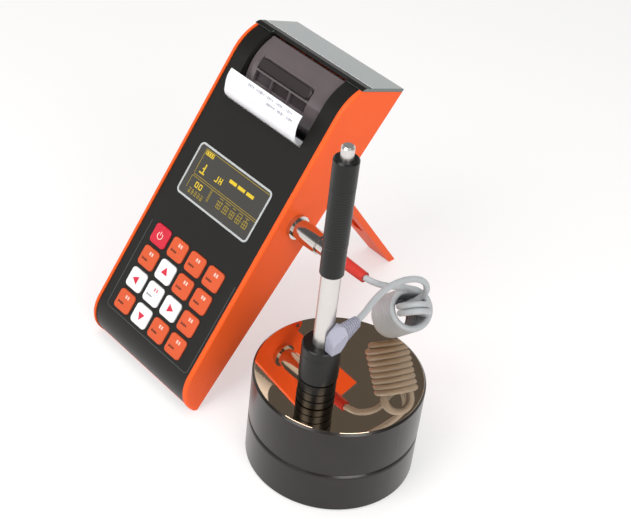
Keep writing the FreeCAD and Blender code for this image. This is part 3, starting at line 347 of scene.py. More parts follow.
@dataclass(frozen=True)
class Finish:
    """A plain finish: a shader with a fine texture and a slow change of colour.

    The texture is noise whose size is the real one in millimetres; it drives a bump and the roughness.
    """

    name: str
    colour: str
    roughness: float = 0.45
    metallic: float = 0.0
    ior: float = 1.47
    grain_mm: float = 0.5
    depth_mm: float = 0.01
    patch_mm: float = 25.0
    patch_change: float = 0.06
    roughness_change: float = 0.05
    coat: float = 0.0
    coat_roughness: float = 0.06
    glow: float = 0.0
    patch_detail: float = 2.0
    grain_detail: float = 3.0

    def base(self, tree: Tree, place: Socket) -> Socket:
        """The base colour: the named colour, slowly lighter and darker in soft patches.

        Args:
            tree: The material's node tree.
            place: The Object coordinates.

        Returns:
            The colour's socket.
        """
        patches = add(tree, "TexNoise", {"Vector": place, "Scale": 1 / (self.patch_mm * MM),
                                         "Detail": self.patch_detail})
        red, green, blue, _ = linear(self.colour)
        dark = tuple(c * (1 - self.patch_change) for c in (red, green, blue)) + (1.0,)
        light = tuple(min(1.0, c * (1 + self.patch_change)) for c in (red, green, blue)) + (1.0,)
        mixed = add(tree, "Mix", {"Factor": patches.outputs["Fac"], "A": dark, "B": light}, data_type="RGBA")
        return mixed.outputs["Result"]

    def height(self, tree: Tree, place: Socket) -> Socket:
        """The texture's height, 0 to 1, as a socket."""
        return add(tree, "TexNoise", {"Vector": place, "Scale": 1 / (self.grain_mm * MM),
                                      "Detail": self.grain_detail}).outputs["Fac"]

    def bump(self, tree: Tree, height: Socket) -> Socket:
        """The normal that the texture's height gives over its real depth, as a socket."""
        return add(tree, "Bump", {"Height": height, "Distance": self.depth_mm * MM,
                                  "Strength": 1.0}).outputs["Normal"]

    def material(self) -> bpy.types.Material:
        """Build the material.

        Returns:
            The node material, in metres on Object coordinates.
        """
        made = bpy.data.materials.get(self.name)
        if made is not None:
            return made
        made, tree = fresh_material(self.name)
        place = add(tree, "TexCoord").outputs["Object"]
        height = self.height(tree, place)
        rough = add(tree, "MapRange", {"Value": height, "To Min": self.roughness - self.roughness_change,
                                       "To Max": self.roughness + self.roughness_change})
        shader = add(tree, "BsdfPrincipled", {
            "Normal": self.bump(tree, height), "Base Color": self.base(tree, place),
            "Roughness": rough.outputs["Result"], "Metallic": self.metallic, "IOR": self.ior,
            "Coat Weight": self.coat, "Coat Roughness": self.coat_roughness,
            "Emission Color": linear(self.colour), "Emission Strength": self.glow})
        add(tree, "OutputMaterial", {"Surface": shader.outputs["BSDF"]})
        return made


@dataclass(frozen=True)
class BlockFinish(Finish):
    """Black-oxided steel whose top is lapped to a mirror, its metal colour tinted brown as a painted
    reflection of a dark brown room: both are told apart by height.
    """

    # The lapped mirror's colour, tinted warm brown: a painted reflection of the dark brown surroundings that
    # the top mirrors
    lapped_with_painted_reflection: str = "#E7CBAD"
    lapped_roughness: float = 0.025
    coat_roughness: float = 0.2
    top_mm: float = 54.9

    def material(self) -> bpy.types.Material:
        """Build the two-zone material.

        Returns:
            The node material: metal with a lapped top, oxide on the sides.
        """
        made, tree = fresh_material(self.name)
        place = add(tree, "TexCoord").outputs["Object"]
        height = add(tree, "SeparateXYZ", {"Vector": place}).outputs["Z"]
        top = add(tree, "Math", {0: height, 1: self.top_mm * MM}, operation="GREATER_THAN")
        side = add(tree, "BsdfPrincipled", {
            "Normal": self.bump(tree, self.height(tree, place)), "Base Color": self.base(tree, place),
            "Roughness": self.roughness, "Metallic": self.metallic, "Coat Weight": self.coat,
            "Coat Roughness": self.coat_roughness})
        mirror = add(tree, "BsdfPrincipled", {
            "Base Color": linear(self.lapped_with_painted_reflection), "Roughness": self.lapped_roughness, "Metallic": 1.0})
        both = add(tree, "MixShader", {0: top.outputs["Value"], 1: side.outputs["BSDF"],
                                       2: mirror.outputs["BSDF"]})
        add(tree, "OutputMaterial", {"Surface": both.outputs["Shader"]})
        return made


# ABS, spark-eroded mould: a fine soft sparkle and a mild sheen
ORANGE_SHELL = Finish("orange ABS", "#F25A16", 0.48, ior=1.4, grain_mm=0.6, depth_mm=0.012)
# ABS under a satin keypad film: deep black with a soft sky reflection
BLACK_FACE = Finish("black ABS face", "#181714", 0.38, ior=1.38, grain_mm=0.5, depth_mm=0.006,
                    patch_change=0.1)
# Polished acrylic end plate: grey-green gloss
END_PLATE = Finish("grey-green acrylic", "#616B69", 0.08, grain_mm=20, depth_mm=0.02, coat=0.6)
# Painted highlight: a pale strip on the end plate's front edge, standing in for the light that the edge's
# chamfer catches
EDGE_HIGHLIGHT = Finish("painted edge highlight", "#E9EBEB", 0.45, depth_mm=0.003)
PALE_PRINT = Finish("silver frame print", "#B9BCBC", 0.4, depth_mm=0.003)
WINDOW = Finish("hard-coated display acrylic", "#3A3833", 0.12, grain_mm=10, depth_mm=0.004,
                coat=0.3)
DISPLAY = Finish("display glass", "#35332E", 0.2)
BOARD = Finish("solder-masked glass laminate", "#1D5A35", 0.4, grain_mm=1.5)
MAT = Finish("silicone mat", "#777777", 0.6)
BATTERY = Finish("battery shrink film", "#4A628E", 0.35)
ORANGE_KEY = Finish("orange silicone rubber", "#D4562A", 0.48, grain_mm=0.3, patch_change=0.03)
WHITE_KEY = Finish("white silicone rubber", "#F1F1F1", 0.45, grain_mm=0.3, patch_change=0.02)
RED_KEY = Finish("red silicone rubber", "#CE2239", 0.45, grain_mm=0.3, patch_change=0.03)
SMOKED = Finish("smoked polycarbonate", "#61585A", 0.16, grain_mm=8, depth_mm=0.01,
                patch_change=0.15, coat=0.5)
LATCH = Finish("dark brown ABS", "#2C2425", 0.4, grain_mm=0.4, depth_mm=0.006)
PANE = Finish("smoked polycarbonate pane", "#3F3739", 0.3, grain_mm=8, depth_mm=0.004)
PAPER = Finish("thermal paper", "#EDEDF0", 0.6, grain_mm=0.4, depth_mm=0.004, patch_change=0.01)
PLATEN = Finish("ground nitrile rubber", "#1C1C1C", 0.6, grain_mm=0.3)
CHROME = Finish("chromed brass", "#D8D3CF", 0.12, metallic=1.0, grain_mm=2.0, depth_mm=0.003)
BRIGHT_TUBE = Finish("satin chromed steel", "#D8D4D0", 0.3, metallic=0.9, grain_mm=0.6,
                     depth_mm=0.002)
PIN_STEEL = Finish("drawn steel wire", "#A9A9A9", 0.3, metallic=1.0)
SPRING_STEEL = Finish("spring steel", "#8C8C8C", 0.35, metallic=1.0)
SCREW_STEEL = Finish("zinc-plated steel", "#9A9A98", 0.35, metallic=1.0)
HEAD_METAL = Finish("machined aluminium", "#B5B5B5", 0.4, metallic=1.0)
COPPER = Finish("enamelled copper wire", "#A5512A", 0.3, metallic=1.0)
ANODISED = Finish("black anodised aluminium", "#111110", 0.33, ior=1.4, grain_mm=0.3,
                  depth_mm=0.004)
# Black-oxided steel, polished before it was blackened: dark with soft lamp reflections
POLISHED = Finish("polished black-oxided steel", "#2C2C2B", 0.34, metallic=0.9, grain_mm=0.6,
                  depth_mm=0.001)
RED_BOOT = Finish("red moulded rubber", "#C22A1D", 0.45, grain_mm=0.5)
CORD = Finish("grey PVC jacket", "#ACAFB1", 0.38, grain_mm=0.8, depth_mm=0.006, patch_change=0.05)
PLUG = Finish("lilac-grey PVC moulding", "#9B9BAA", 0.45, grain_mm=0.5, depth_mm=0.006)
BLOCK = BlockFinish("black-oxided and lapped steel", "#272320", 0.3, metallic=0.55, grain_mm=1.2,
                    depth_mm=0.003, patch_mm=18, patch_change=0.18, coat=0.25)
AMBER = Finish("amber display segments", "#C4A824", 0.4, depth_mm=0.0, glow=0.35)
DIM_AMBER = Finish("dim amber display lines", "#8F7A1E", 0.4, depth_mm=0.0, glow=0.3)
MARK_WHITE = Finish("white legend ink", "#F7E3D6", 0.5, depth_mm=0.0)
MARK_DARK = Finish("dark legend ink", "#4A1E12", 0.5, depth_mm=0.0)
MARK_DARK_GREY = Finish("grey legend ink", "#8E8E90", 0.5, depth_mm=0.0)
MARK_RED = Finish("red legend ink", "#D2203C", 0.5, depth_mm=0.0)
MARK_GREY = Finish("faint thermal print", "#9A9CA6", 0.6, depth_mm=0.0)
FILM_EDGE = Finish("keypad film edge", "#55595A", 0.35, depth_mm=0.0)

SLOT_FINISH: dict[str, Finish] = {
    "orange_shell": ORANGE_SHELL, "dark_shell": BLACK_FACE, "gloss_panel": END_PLATE, "pale_line": PALE_PRINT,
    "window": WINDOW, "display_glass": DISPLAY, "board": BOARD, "mat": MAT, "battery": BATTERY,
    "screw_steel": SCREW_STEEL, "head_metal": HEAD_METAL, "smoked_cover": SMOKED, "latch_plastic": LATCH,
    "pin_steel": PIN_STEEL, "platen_rubber": PLATEN, "paper": PAPER, "chrome": CHROME, "red_boot": RED_BOOT,
    "cord": CORD, "plug_plastic": PLUG, "black_metal": ANODISED, "spring_steel": SPRING_STEEL,
    "bright_tube": BRIGHT_TUBE, "coil_copper": COPPER, "block_steel": BLOCK, "red_key": RED_KEY,
    "white_key": WHITE_KEY, "orange_key": ORANGE_KEY}


def dress(piece: Piece, finish: Finish, body: str = Body.TESTER.value) -> None:
    """Give a new piece its finish and the body it rides on.

    Args:
        piece: The new object.
        finish: Its finish.
        body: The CAD body it rides on.
    """
    piece.data.materials.append(finish.material())
    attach(piece, body)
    LOG.info("made %s on %s", piece.name, body)


def dress_nodes(frame: dict[str, Any]) -> None:
    """Give every carried-over CAD node the finish of its material slot.
    """
    slots = {part["node"]: part["material_slot"] for part in frame["record"]["subparts"]}
    made = {slot: finish.material() for slot, finish in SLOT_FINISH.items()}
    for name, node in frame["nodes"].items():
        for place in node.material_slots:
            place.material = made[slots[name]]


@dataclass(frozen=True)
class ProbeCord:
    """The cord from the tester's boot to the probe's plug, wound in the middle, as one smooth line.

    The winding is a helix from the near mouth to the far one. The cord comes back inside it, takes two
    turns across the near mouth and leaves in a loop. Points are in row-frame millimetres, and those
    round the winding are (up across its mouth, right across its mouth, depth into it).
    """

    exit: Point = (-11.5, 21.382, 100.219)
    ahead: Point = (-7.4, 21.9, 100.2)
    from_tester: tuple[Point, ...] = ((-2.6, 24.4, 99.9), (0.9, 29.4, 98.9), (2.4, 35.4, 97.0))
    loop: tuple[Point, ...] = (
        (2.5, -2.7, 6.3), (3.4, 0.8, 6.9), (4.3, 4.2, 4.7), (5.3, 5.6, 0.2), (6.2, 6.0, -3.6),
        (8.2, 6.0, -7.2), (11.0, 4.2, -10.4), (12.9, 0.4, -12.8), (13.6, -4.6, -14.6),
        (13.2, -11.4, -16.5), (11.0, -20.0, -18.0), (5.2, -30.0, -19.6), (-1.7, -37.4, -20.9))
    relief_end: Point = (12.5, -9.6, 101.25)
    near: Point = (9.5, 38.4, 86.0)
    far: Point = (-10.5, 44.5, 63.6)
    mouth_up: Point = (3.2, 41.2, 93.2)
    diameter: float = 3.4
    outer_radius: float = 12.0
    turns: float = 8.5
    steps: int = 12
    back_steps: int = 14
    back_turn: float = 296.0
    back_slowing: float = 1.5
    back_radius: float = 7.0
    back_gap: float = 0.2
    back_in: float = 0.42
    back_swell: float = 0.5
    back_rise_from: float = 0.25
    back_rise_power: float = 1.35
    back_depth: float = 3.6
    cross_radius: float = 7.35
    cross_centre: Pair = (-0.7, -1.2)
    cross_low: float = -3.5
    cross_pitch: float = 3.55
    cross_turns: Pair = (-10.0, 590.0)
    length: float = 0.80
    spline_order: int = 3

    def in_mouth(self, up: Array, right: Array, depth: Array) -> Array:
        """Turn places round the winding's near mouth to the row frame.

        The depth runs down the winding's axis, up is the part of mouth_up that stands square to it, and
        right stands square to both.

        Args:
            up: Distances up across the mouth, in millimetres.
            right: Distances to the right across the mouth.
            depth: Distances into the mouth.

        Returns:
            Rows of (x, y, z) in millimetres.
        """
        near, far = np.array(self.near), np.array(self.far)
        axis = (far - near) / np.linalg.norm(far - near)
        first = np.array(self.mouth_up) - near
        first -= axis * first.dot(axis)
        first /= np.linalg.norm(first)
        second = np.cross(axis, first)
        return near + np.outer(up, first) + np.outer(right, second) + np.outer(depth, axis)

    def winding(self) -> Array:
        """The helix: its depth grows evenly with the angle.

        The control points stand a little outside the radius that the cord is to have: the radius is
        divided by the cosine of half a step.

        Returns:
            The control points, in millimetres.
        """
        span = math.dist(self.near, self.far) - self.diameter
        count = int(self.turns * self.steps)
        part = np.arange(count + 1) / count
        angle = 2 * math.pi * self.turns * part
        radius = (self.outer_radius - self.diameter / 2) / math.cos(math.pi / self.steps)
        return self.in_mouth(radius * np.cos(angle), radius * np.sin(angle), self.diameter / 2 + span * part)

    def way_back(self) -> Array:
        """The run back inside: a spiral inwards at the far end, then a helix that straightens as it rises.

        The angle slows down as a power of the part that is left, the radius eases from the winding's to
        the inner one as a smooth step, and the depth first swells by half a sine and then rises.

        Returns:
            The control points, in millimetres.
        """
        part = np.arange(1, self.back_steps + 1) / self.back_steps
        start = math.dist(self.near, self.far) - self.diameter / 2
        slowed = 1 - (1 - part) ** self.back_slowing
        angle = 2 * math.pi * self.turns + math.radians(self.back_turn) * slowed
        ease = np.clip(part / self.back_in, 0, 1)
        ease = ease * ease * (3 - 2 * ease)
        outer = (self.outer_radius - self.diameter / 2) + self.back_gap
        radius = outer + (self.back_radius - outer) * ease
        rise = np.clip((part - self.back_rise_from) / (1 - self.back_rise_from), 0, 1) ** self.back_rise_power
        swell = np.sin(np.minimum(part / self.back_swell, 1) * math.pi)
        depth = start + swell - rise * (start - self.back_depth)
        return self.in_mouth(radius * np.cos(angle), radius * np.sin(angle), depth)

    def crossing(self) -> Array:
        """The turns across the mouth: a helix about the mouth's upward line.

        Returns:
            The control points, in millimetres.
        """
        degrees = np.arange(*self.cross_turns, 360 / self.steps)
        turn = np.radians(degrees)
        right, depth = self.cross_centre
        return self.in_mouth(self.cross_low + self.cross_pitch * degrees / 360,
                             right + self.cross_radius * np.cos(turn),
                             depth - self.cross_radius * np.sin(turn))

    def build(self) -> None:
        points = np.concatenate([np.array([self.exit, self.ahead, *self.from_tester]), self.winding(),
                                 self.way_back(), self.crossing(), self.in_mouth(*np.array(self.loop).T),
                                 np.array([self.relief_end])]) * MM
        curve = bpy.data.curves.new("probe_cord", "CURVE")
        curve.dimensions = "3D"
        curve.bevel_depth = self.diameter / 2 * MM
        curve.bevel_resolution = 5
        curve.resolution_u = 4
        spline = curve.splines.new("NURBS")
        spline.points.add(len(points) - 1)
        spline.points.foreach_set("co", np.column_stack([points, np.ones(len(points))]).ravel())
        spline.order_u = self.spline_order
        spline.use_endpoint_u = True
        made = in_scene("probe_cord", curve)
        dress(made, CORD)
        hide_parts("cord_from_tester", "cord_coil", "cord_from_probe")


def bars(x: float, along: float, rows: Sequence[Row]) -> list[Array]:
    """Some bars about a point.

    Args:
        x: The point's place across the face.
        along: The point's place along the face.
        rows: How far across, how far along, width and length of each bar, in millimetres.

    Returns:
        The bars' outlines.
    """
    return [bar(x + across, along + up, width, length) for across, up, width, length in rows]


@dataclass(frozen=True)
class Keypad:
    """The sixteen keys' legends: plain triangles, a power ring and short bars of ink.

    A bar is a row of how far across, how far along, width and length, in millimetres about its key.
    """

    pitch_x: float = 15.4
    pitch_along: float = 14.2
    centre_along: float = 48.1
    proud: float = 0.9
    ink: float = 0.03
    power_ring: Row = (1.95, 0.4, 125, 415)
    power_stroke: Row = (0.0, 1.6, 0.4, 2.2)
    sign_across: Row = (0.1, 1.9)
    sign_rises: Row = (2.1, 2.8, 3.5)
    sign_bar: Pair = (1.3, 0.36)
    sign_upright: Pair = (0.4, 1.9)
    word_across: Row = (-3.9, -3.1, -2.3, -1.5, -0.7, 0.1)
    word_tall: Row = (1.6, 1.1, 1.1, 1.5, 1.1, 1.1)
    word_rise: float = -1.6
    word_stroke: float = 0.5
    word_line: Row = (-1.9, -1.9, 4.2, 0.3)
    triangle_radius: float = 2.9
    film_rise: float = 0.02
    film_line: float = 0.28
    film_sides: Pair = (-34.3, 38.3)
    film_side_middle: float = 47.5
    film_side_length: float = 52.5
    film_foot: tuple[float, float, float] = (2.2, 18.6, 67.0)
    film_corner: float = 2.6
    names: tuple[tuple[str, ...], ...] = (
        ("key_setup", "key_down", "key_print", "key_clear"),
        ("key_left", "key_enter", "key_right", "key_average"),
        ("key_material", "key_up", "key_scale", "key_store"),
        ("key_power", "key_direction", "key_device", "key_light"))

    def centre(self, column: int, row: int) -> Pair:
        """A key's centre (x, along): columns count from the left and rows from the foot."""
        return (column - 1.5) * self.pitch_x, self.centre_along + (row - 1.5) * self.pitch_along

    def outlines(self, legend: Legend, x: float, along: float) -> list[tuple[list[Array], Finish]]:
        """The inked outlines of one legend.

        Args:
            legend: Which legend.
            x: The key's centre across the face.
            along: The key's centre along the face.

        Returns:
            Groups of outlines with their ink.
        """
        red = legend is Legend.RED_BARS
        if legend is Legend.POWER:
            ring = ring_part(x, along, *self.power_ring)
            return [([ring, *bars(x, along, [self.power_stroke])], MARK_WHITE)]
        if red or legend is Legend.BARS:
            middle = self.sign_rises[1]
            rows = [(across, rise, *self.sign_bar) for across in self.sign_across for rise in self.sign_rises]
            rows += [(across, middle, *self.sign_upright) for across in self.sign_across]
            word = [(across, self.word_rise, self.word_stroke, tall)
                    for across, tall in zip(self.word_across, self.word_tall)]
            return [(bars(x, along, rows), MARK_RED if red else MARK_WHITE),
                    (bars(x, along, [*word, self.word_line]), MARK_DARK_GREY if red else MARK_DARK)]
        turn = {Legend.TRIANGLE_UP: 90, Legend.TRIANGLE_DOWN: 270, Legend.TRIANGLE_LEFT: 180,
                Legend.TRIANGLE_RIGHT: 0}[legend]
        angle = np.radians(turn + np.array([0, 120, 240]))
        corners = self.triangle_radius * np.column_stack([np.cos(angle), np.sin(angle)])
        return [([corners + (x, along)], MARK_RED)]

    def build(self) -> None:
        """Print every key's legend, each riding on its own key."""
        keys = {legend.value for legend in Legend}
        for row, names in enumerate(self.names):
            for column, name in enumerate(names):
                x, along = self.centre(column, row)
                legend = Legend(name) if name in keys else Legend.BARS
                for number, (outlines, ink) in enumerate(self.outlines(legend, x, along)):
                    marks = flat_marks(f"{name}_legend_{number}", outlines, FACE_TOP + self.proud, self.ink)
                    dress(marks, ink, name)
        self.outline()

    def outline(self) -> None:
        """The keypad film's faint edge: thin lines up both sides and across the foot, with round corners."""
        left, right = self.film_sides
        across, foot, wide = self.film_foot
        lines = [bar(left, self.film_side_middle, self.film_line, self.film_side_length),
                 bar(across, foot, wide, self.film_line),
                 bar(right, self.film_side_middle, self.film_line, self.film_side_length)]
        corner = self.film_corner
        lines += [ring_part(x, foot + corner, corner, self.film_line, start, start + 90)
                  for x, start in ((left + corner, 180), (right - corner, 270))]
        dress(flat_marks("keypad_film_edge", lines, FACE_TOP, self.film_rise), FILM_EDGE)


@dataclass(frozen=True)
class Screen:
    """The display's lit marks: rules, small signs, three dashes and a lower row of plain strokes.

    A bar is a row of how far across, how far along, width and length, in millimetres about the display.
    """

    along: float = 111.2
    rules: Rows = (
        (2.6, 13.5, 54.0, 0.34), (2.3, -1.8, 53.0, 0.34), (2.3, -3.0, 53.4, 0.34), (-24.4, 6.1, 0.34, 14.7),
        (-24.6, -6.7, 0.34, 7.4), (-7.6, -6.7, 0.34, 7.4), (-6.7, -6.7, 0.34, 7.4))
    charge: Rows = (
        (-20.4, 12.8, 6.4, 0.4), (-20.4, 10.7, 6.4, 0.4), (-23.4, 11.7, 0.5, 2.4), (-17.3, 11.7, 0.5, 2.4),
        (-22.0, 11.7, 1.2, 1.4), (-20.3, 11.7, 1.2, 1.4), (-18.6, 11.7, 1.2, 1.4))
    probe: Rows = (
        (-18.9, 3.4, 0.9, 5.6), (-19.6, 0.6, 4.2, 0.8), (-19.9, 3.3, 1.0, 0.7))
    tall_strokes: Rows = (
        (-7.6, 3.2, 0.7, 3.6), (-5.9, 3.2, 0.7, 3.6), (-4.2, 3.2, 0.7, 3.6), (-5.0, 3.2, 1.4, 0.6),
        (-8.7, 1.6, 1.6, 0.7))
    zeros: Row = (-18.5, -15.3)
    zero: Rows = (
        (0.0, -4.9, 2.3, 0.6), (0.0, -7.6, 2.3, 0.6), (-0.9, -6.2, 0.6, 2.8), (0.9, -6.2, 0.6, 2.8))
    dashes: Rows = (
        (3.0, 6.8, 5.8, 1.9), (10.0, 6.8, 5.8, 1.9), (17.1, 6.8, 5.8, 1.9))
    small_cells: Row = (-22.3, -10.0, 2.5, -12.1, 1.9, 2.5)
    large_cells: Row = (-0.6, 25.0, 5.4, -9.6, 4.6, 5.4)
    cell_strokes: tuple[int, int] = (2, 3)
    least_share: Pair = (0.45, 0.5)
    stroke: float = 0.38
    bright_rise: float = 0.03
    dim_rise: float = 0.02

    def signs(self) -> list[Array]:
        """The charge sign, the probe sign, the tall strokes and two zeros.

        Returns:
            The bars' outlines.
        """
        marks = bars(0.0, self.along, self.charge + self.probe + self.tall_strokes)
        for x in self.zeros:
            marks += bars(x, self.along, self.zero)
        return marks

    def strokes(self) -> list[Array]:
        """Cells of plain crossing strokes, in no script: a small row and a larger one.

        A row of cells is its first and last place across, its step, its foot, and a cell's width and
        height; each cell has one more level stroke than it has upright ones.

        Returns:
            The strokes' outlines.
        """
        rng = np.random.default_rng(4)
        marks: list[Array] = []
        for cells, strokes in zip((self.small_cells, self.large_cells), self.cell_strokes):
            first, last, pitch, foot, wide, tall = cells
            low = self.along + foot
            for x in np.arange(first, last, pitch):
                for step in range(strokes + 1):
                    long = wide * rng.uniform(self.least_share[0], 1.0)
                    marks.append(bar(x + wide / 2, low + tall * step / strokes, long, self.stroke))
                for step in range(strokes):
                    high = rng.uniform(self.least_share[1], 1.0) * tall
                    marks.append(bar(x + wide * (step + 0.5) / strokes, low + high / 2, self.stroke, high))
        return marks

    def build(self) -> None:
        """Lay the lit marks on the window: the rules and strokes dimmer than the signs and dashes."""
        bright = self.signs() + bars(0.0, self.along, self.dashes)
        dim = bars(0.0, self.along, self.rules) + self.strokes()
        for name, marks, rise, finish in (("screen_signs", bright, self.bright_rise, AMBER),
                                          ("screen_rules", dim, self.dim_rise, DIM_AMBER)):
            dress(flat_marks(name, marks, FACE_TOP, rise), finish)


@dataclass(frozen=True)
class PrintedSlip:
    """The two faint printed rows near the slip's end, which curls as an arc about a line across the tester.

    A row is its bearing on the arc in degrees and its groups, each a start and a width across.
    """

    centre: Pair = (167.81, 14.49)
    radius: float = 14.08
    ink: float = 0.04
    pitch: float = 0.95
    stroke_wide: Pair = (0.35, 0.75)
    stroke_tall: Pair = (0.9, 1.7)
    rows: tuple[tuple[float, tuple[Pair, ...]], ...] = (
        (89.0, ((-12.7, 4.6), (-6.1, 6.0), (1.9, 5.4), (9.9, 4.7), (17.9, 4.7))),
        (102.0, ((4.0, 6.6), (12.6, 4.7), (20.0, 4.6))))

    def mark(self, x: float, wide: float, angle: float, tall: float) -> Array:
        """The eight corners of one mark: a low block on the arc.

        Args:
            x: Its left side across the tester, in millimetres.
            wide: Its width.
            angle: Its bearing on the arc, in degrees.
            tall: Its length along the arc.

        Returns:
            The corners in the tester's frame.
        """
        half = tall / 2 / self.radius
        corners = []
        for radius in (self.radius - self.ink, self.radius + self.ink):
            for dx, turn in ((0, -half), (wide, -half), (wide, half), (0, half)):
                bearing = math.radians(angle) - turn
                corners.append((x + dx, self.centre[0] + radius * math.cos(bearing),
                                self.centre[1] + radius * math.sin(bearing)))
        return np.array(corners)

    def build(self) -> None:
        """Print each group as a few strokes of different heights."""
        rng = np.random.default_rng(7)
        marks = [self.mark(x, rng.uniform(*self.stroke_wide), angle, rng.uniform(*self.stroke_tall))
                 for angle, groups in self.rows for start, wide in groups
                 for x in np.arange(start, start + wide, self.pitch)]
        dress(blocks("slip_print", marks), MARK_GREY, Body.COVER.value)


@dataclass(frozen=True)
class Trim:
    """Thin trim at the printer: panes in the finger fields, a dark rim, and a painted highlight strip on the
    end plate's front edge.

    Each slab is a line in side view from one (along, out) to the next, carried across from one x to
    another and thickened to its left. The dark rim follows the brow and the plate's corner at the sides,
    and the lowered edge across the bay.
    """

    pane_x: Pair = (-23.6, 17.6)
    pane_low: Pair = (168.4, 11.3)
    pane_high: Pair = (175.5, 13.25)
    pane_thick: float = 0.5
    half: float = 42.7
    bay_half: float = 29.9
    side_rim: tuple[Pair, ...] = (
        (196.2, 12.68), (197.25, 11.71), (198.29, 10.63), (198.41, 10.22), (199.5, 6.24))
    bay_rim: tuple[Pair, ...] = ((196.4, 10.4), (198.35, 10.4), (198.41, 10.22), (199.5, 6.24))
    highlight_end: Pair = (199.65, 5.69)
    film: float = 0.06

    def slab(self, x: Pair, start: Pair, end: Pair,
             thick: float) -> Array:
        """The eight corners of one slab, the line first and its thickened side after it.

        Args:
            x: Where it starts and ends across the tester, in millimetres.
            start: The line's start (along, out).
            end: The line's end.
            thick: How far the slab reaches to the line's left, square to it.

        Returns:
            The corners in the tester's frame.
        """
        run, rise = end[0] - start[0], end[1] - start[1]
        size = math.hypot(run, rise)
        lift = np.array((0.0, -rise / size * thick, run / size * thick))
        low = np.array([(x[0], *start), (x[1], *start), (x[1], *end), (x[0], *end)])
        return np.concatenate([low, low + lift])

    def build(self) -> None:
        """Lay the panes on the cover, and the dark rim and the painted highlight strip behind it on the end
        plate.
        """
        pane = self.slab(self.pane_x, self.pane_low, self.pane_high, self.pane_thick)
        dress(blocks("finger_panes", [pane]), PANE, Body.COVER.value)
        edges = (-self.half, -self.bay_half, self.bay_half, self.half)
        spans = zip(zip(edges, edges[1:]), (self.side_rim, self.bay_rim, self.side_rim))
        dark = [self.slab(x, a, b, self.film) for x, rim in spans for a, b in zip(rim, rim[1:])]
        dress(blocks("plate_rim", dark), BLACK_FACE)
        # The painted highlight: a pale strip along the plate's front edge, where its chamfer catches light
        bright = self.slab((-self.half, self.half), self.side_rim[-1], self.highlight_end, self.film)
        dress(blocks("plate_edge_highlight", [bright]), EDGE_HIGHLIGHT)


@dataclass(frozen=True)
class GripRings:
    """The fine turned rings of the loading sleeve: the radius rises and falls as a cosine of height."""

    low: float = 151.9
    high: float = 184.2
    radius: float = 6.0
    proud: float = 0.01
    wall: float = 0.2
    rise: float = 0.08
    pitch: float = 1.5
    steps: int = 8
    segments: int = 48

    def build(self) -> None:
        """Make the ringed band as a thin closed shell over the sleeve."""
        count = int((self.high - self.low) / self.pitch) * self.steps
        height = np.linspace(self.low, self.high, count + 1)
        wave = 0.5 - 0.5 * np.cos(2 * math.pi * (height - self.low) / self.pitch)
        outer = np.column_stack([self.radius + self.proud + self.rise * wave, height])
        inner = np.array([(self.radius - self.wall, self.high), (self.radius - self.wall, self.low)])
        start = np.array((*PROBE_AXIS, 0.0)) * MM
        made = turned("grip_rings", np.concatenate([outer, inner]) * MM, start, UP, self.segments)
        dress(made, ANODISED, Body.SLEEVE.value)


@dataclass(frozen=True)
class PlugMoulding:
    """The probe's angled plug and its ribbed bend relief, one moulding drawn through eight-sided sections.

    Each section stands across the moulding: how far along, left, right, foot, top, and the drop and the
    run of the broad bevel on its right. The ribs are steps in the size of the tapering tail.
    """

    front: Rows = (
        (-26.0, 11.3, 17.0, 91.85, 101.6, 4.4, 4.8), (-24.0, 11.2, 17.2, 91.85, 104.4, 5.4, 4.8),
        (-21.4, 11.1, 17.7, 92.4, 106.0, 5.0, 4.4), (-19.6, 10.2, 18.0, 95.2, 106.2, 3.6, 3.2))
    tail_start: Point = (14.1, -18.6, 100.9)
    tail_end: Point = (12.1, -6.2, 101.45)
    radii: Pair = (4.7, 2.9)
    rib: float = 0.6
    ribs: int = 8
    sides: int = 8
    first_corner: float = 247.5
    chamfer: float = 0.5
    left_chamfer: float = 0.9
    flattening: float = 0.94
    edge: float = 0.16

    def section(self, row: Row) -> Array:
        """One front section's eight corners, from the foot's left corner round by the right.

        Args:
            row: How far along, left, right, foot, top, and the broad bevel's drop and run.

        Returns:
            The corners, in row-frame millimetres.
        """
        y, left, right, foot, top, drop, run = row
        low, cut = foot + self.chamfer, self.left_chamfer
        return np.array([(left + self.chamfer, y, foot), (right - self.chamfer, y, foot), (right, y, low),
                         (right, y, top - drop), (right - run, y, top), (left + cut, y, top),
                         (left, y, top - cut), (left, y, low)])

    def tail(self) -> Array:
        """The relief's sections: flattened octagons of shrinking size, every other one drawn in for a rib.

        Returns:
            The corners, by section and corner, in row-frame millimetres.
        """
        share = np.repeat(np.arange(self.ribs * 2 + 1) / (self.ribs * 2), 2)[1:-1]
        size = self.radii[0] + (self.radii[1] - self.radii[0]) * share
        size = size - self.rib * (np.arange(len(share)) // 2 % 2 == 1)
        angle = math.radians(self.first_corner) + 2 * math.pi * np.arange(self.sides) / self.sides
        start, end = np.array(self.tail_start), np.array(self.tail_end)
        middle = start + share[:, None] * (end - start)
        ring = np.stack([np.cos(angle) * self.flattening, np.zeros(self.sides), np.sin(angle)], axis=-1)
        return middle[:, None, :] + size[:, None, None] * ring[None] / math.cos(math.pi / self.sides)

    def build(self) -> None:
        """Skin the sections in turn, close both ends and take the place of the plain plug and cone."""
        sections = np.concatenate([np.array([self.section(row) for row in self.front]), self.tail()])
        rows, sides = len(sections), self.sides
        faces = grid_faces(rows, sides, False, True).tolist()
        faces += [list(range(sides - 1, -1, -1)), [(rows - 1) * sides + k for k in range(sides)]]
        made = mesh_object("plug_moulding", sections.reshape(-1, 3) * MM, faces, smooth=False)
        outwards(made)
        bevel = made.modifiers.new("softened edges", "BEVEL")
        bevel.width = self.edge * MM
        bevel.segments = 2
        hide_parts("plug_relief", "probe_plug")
        dress(made, PLUG)


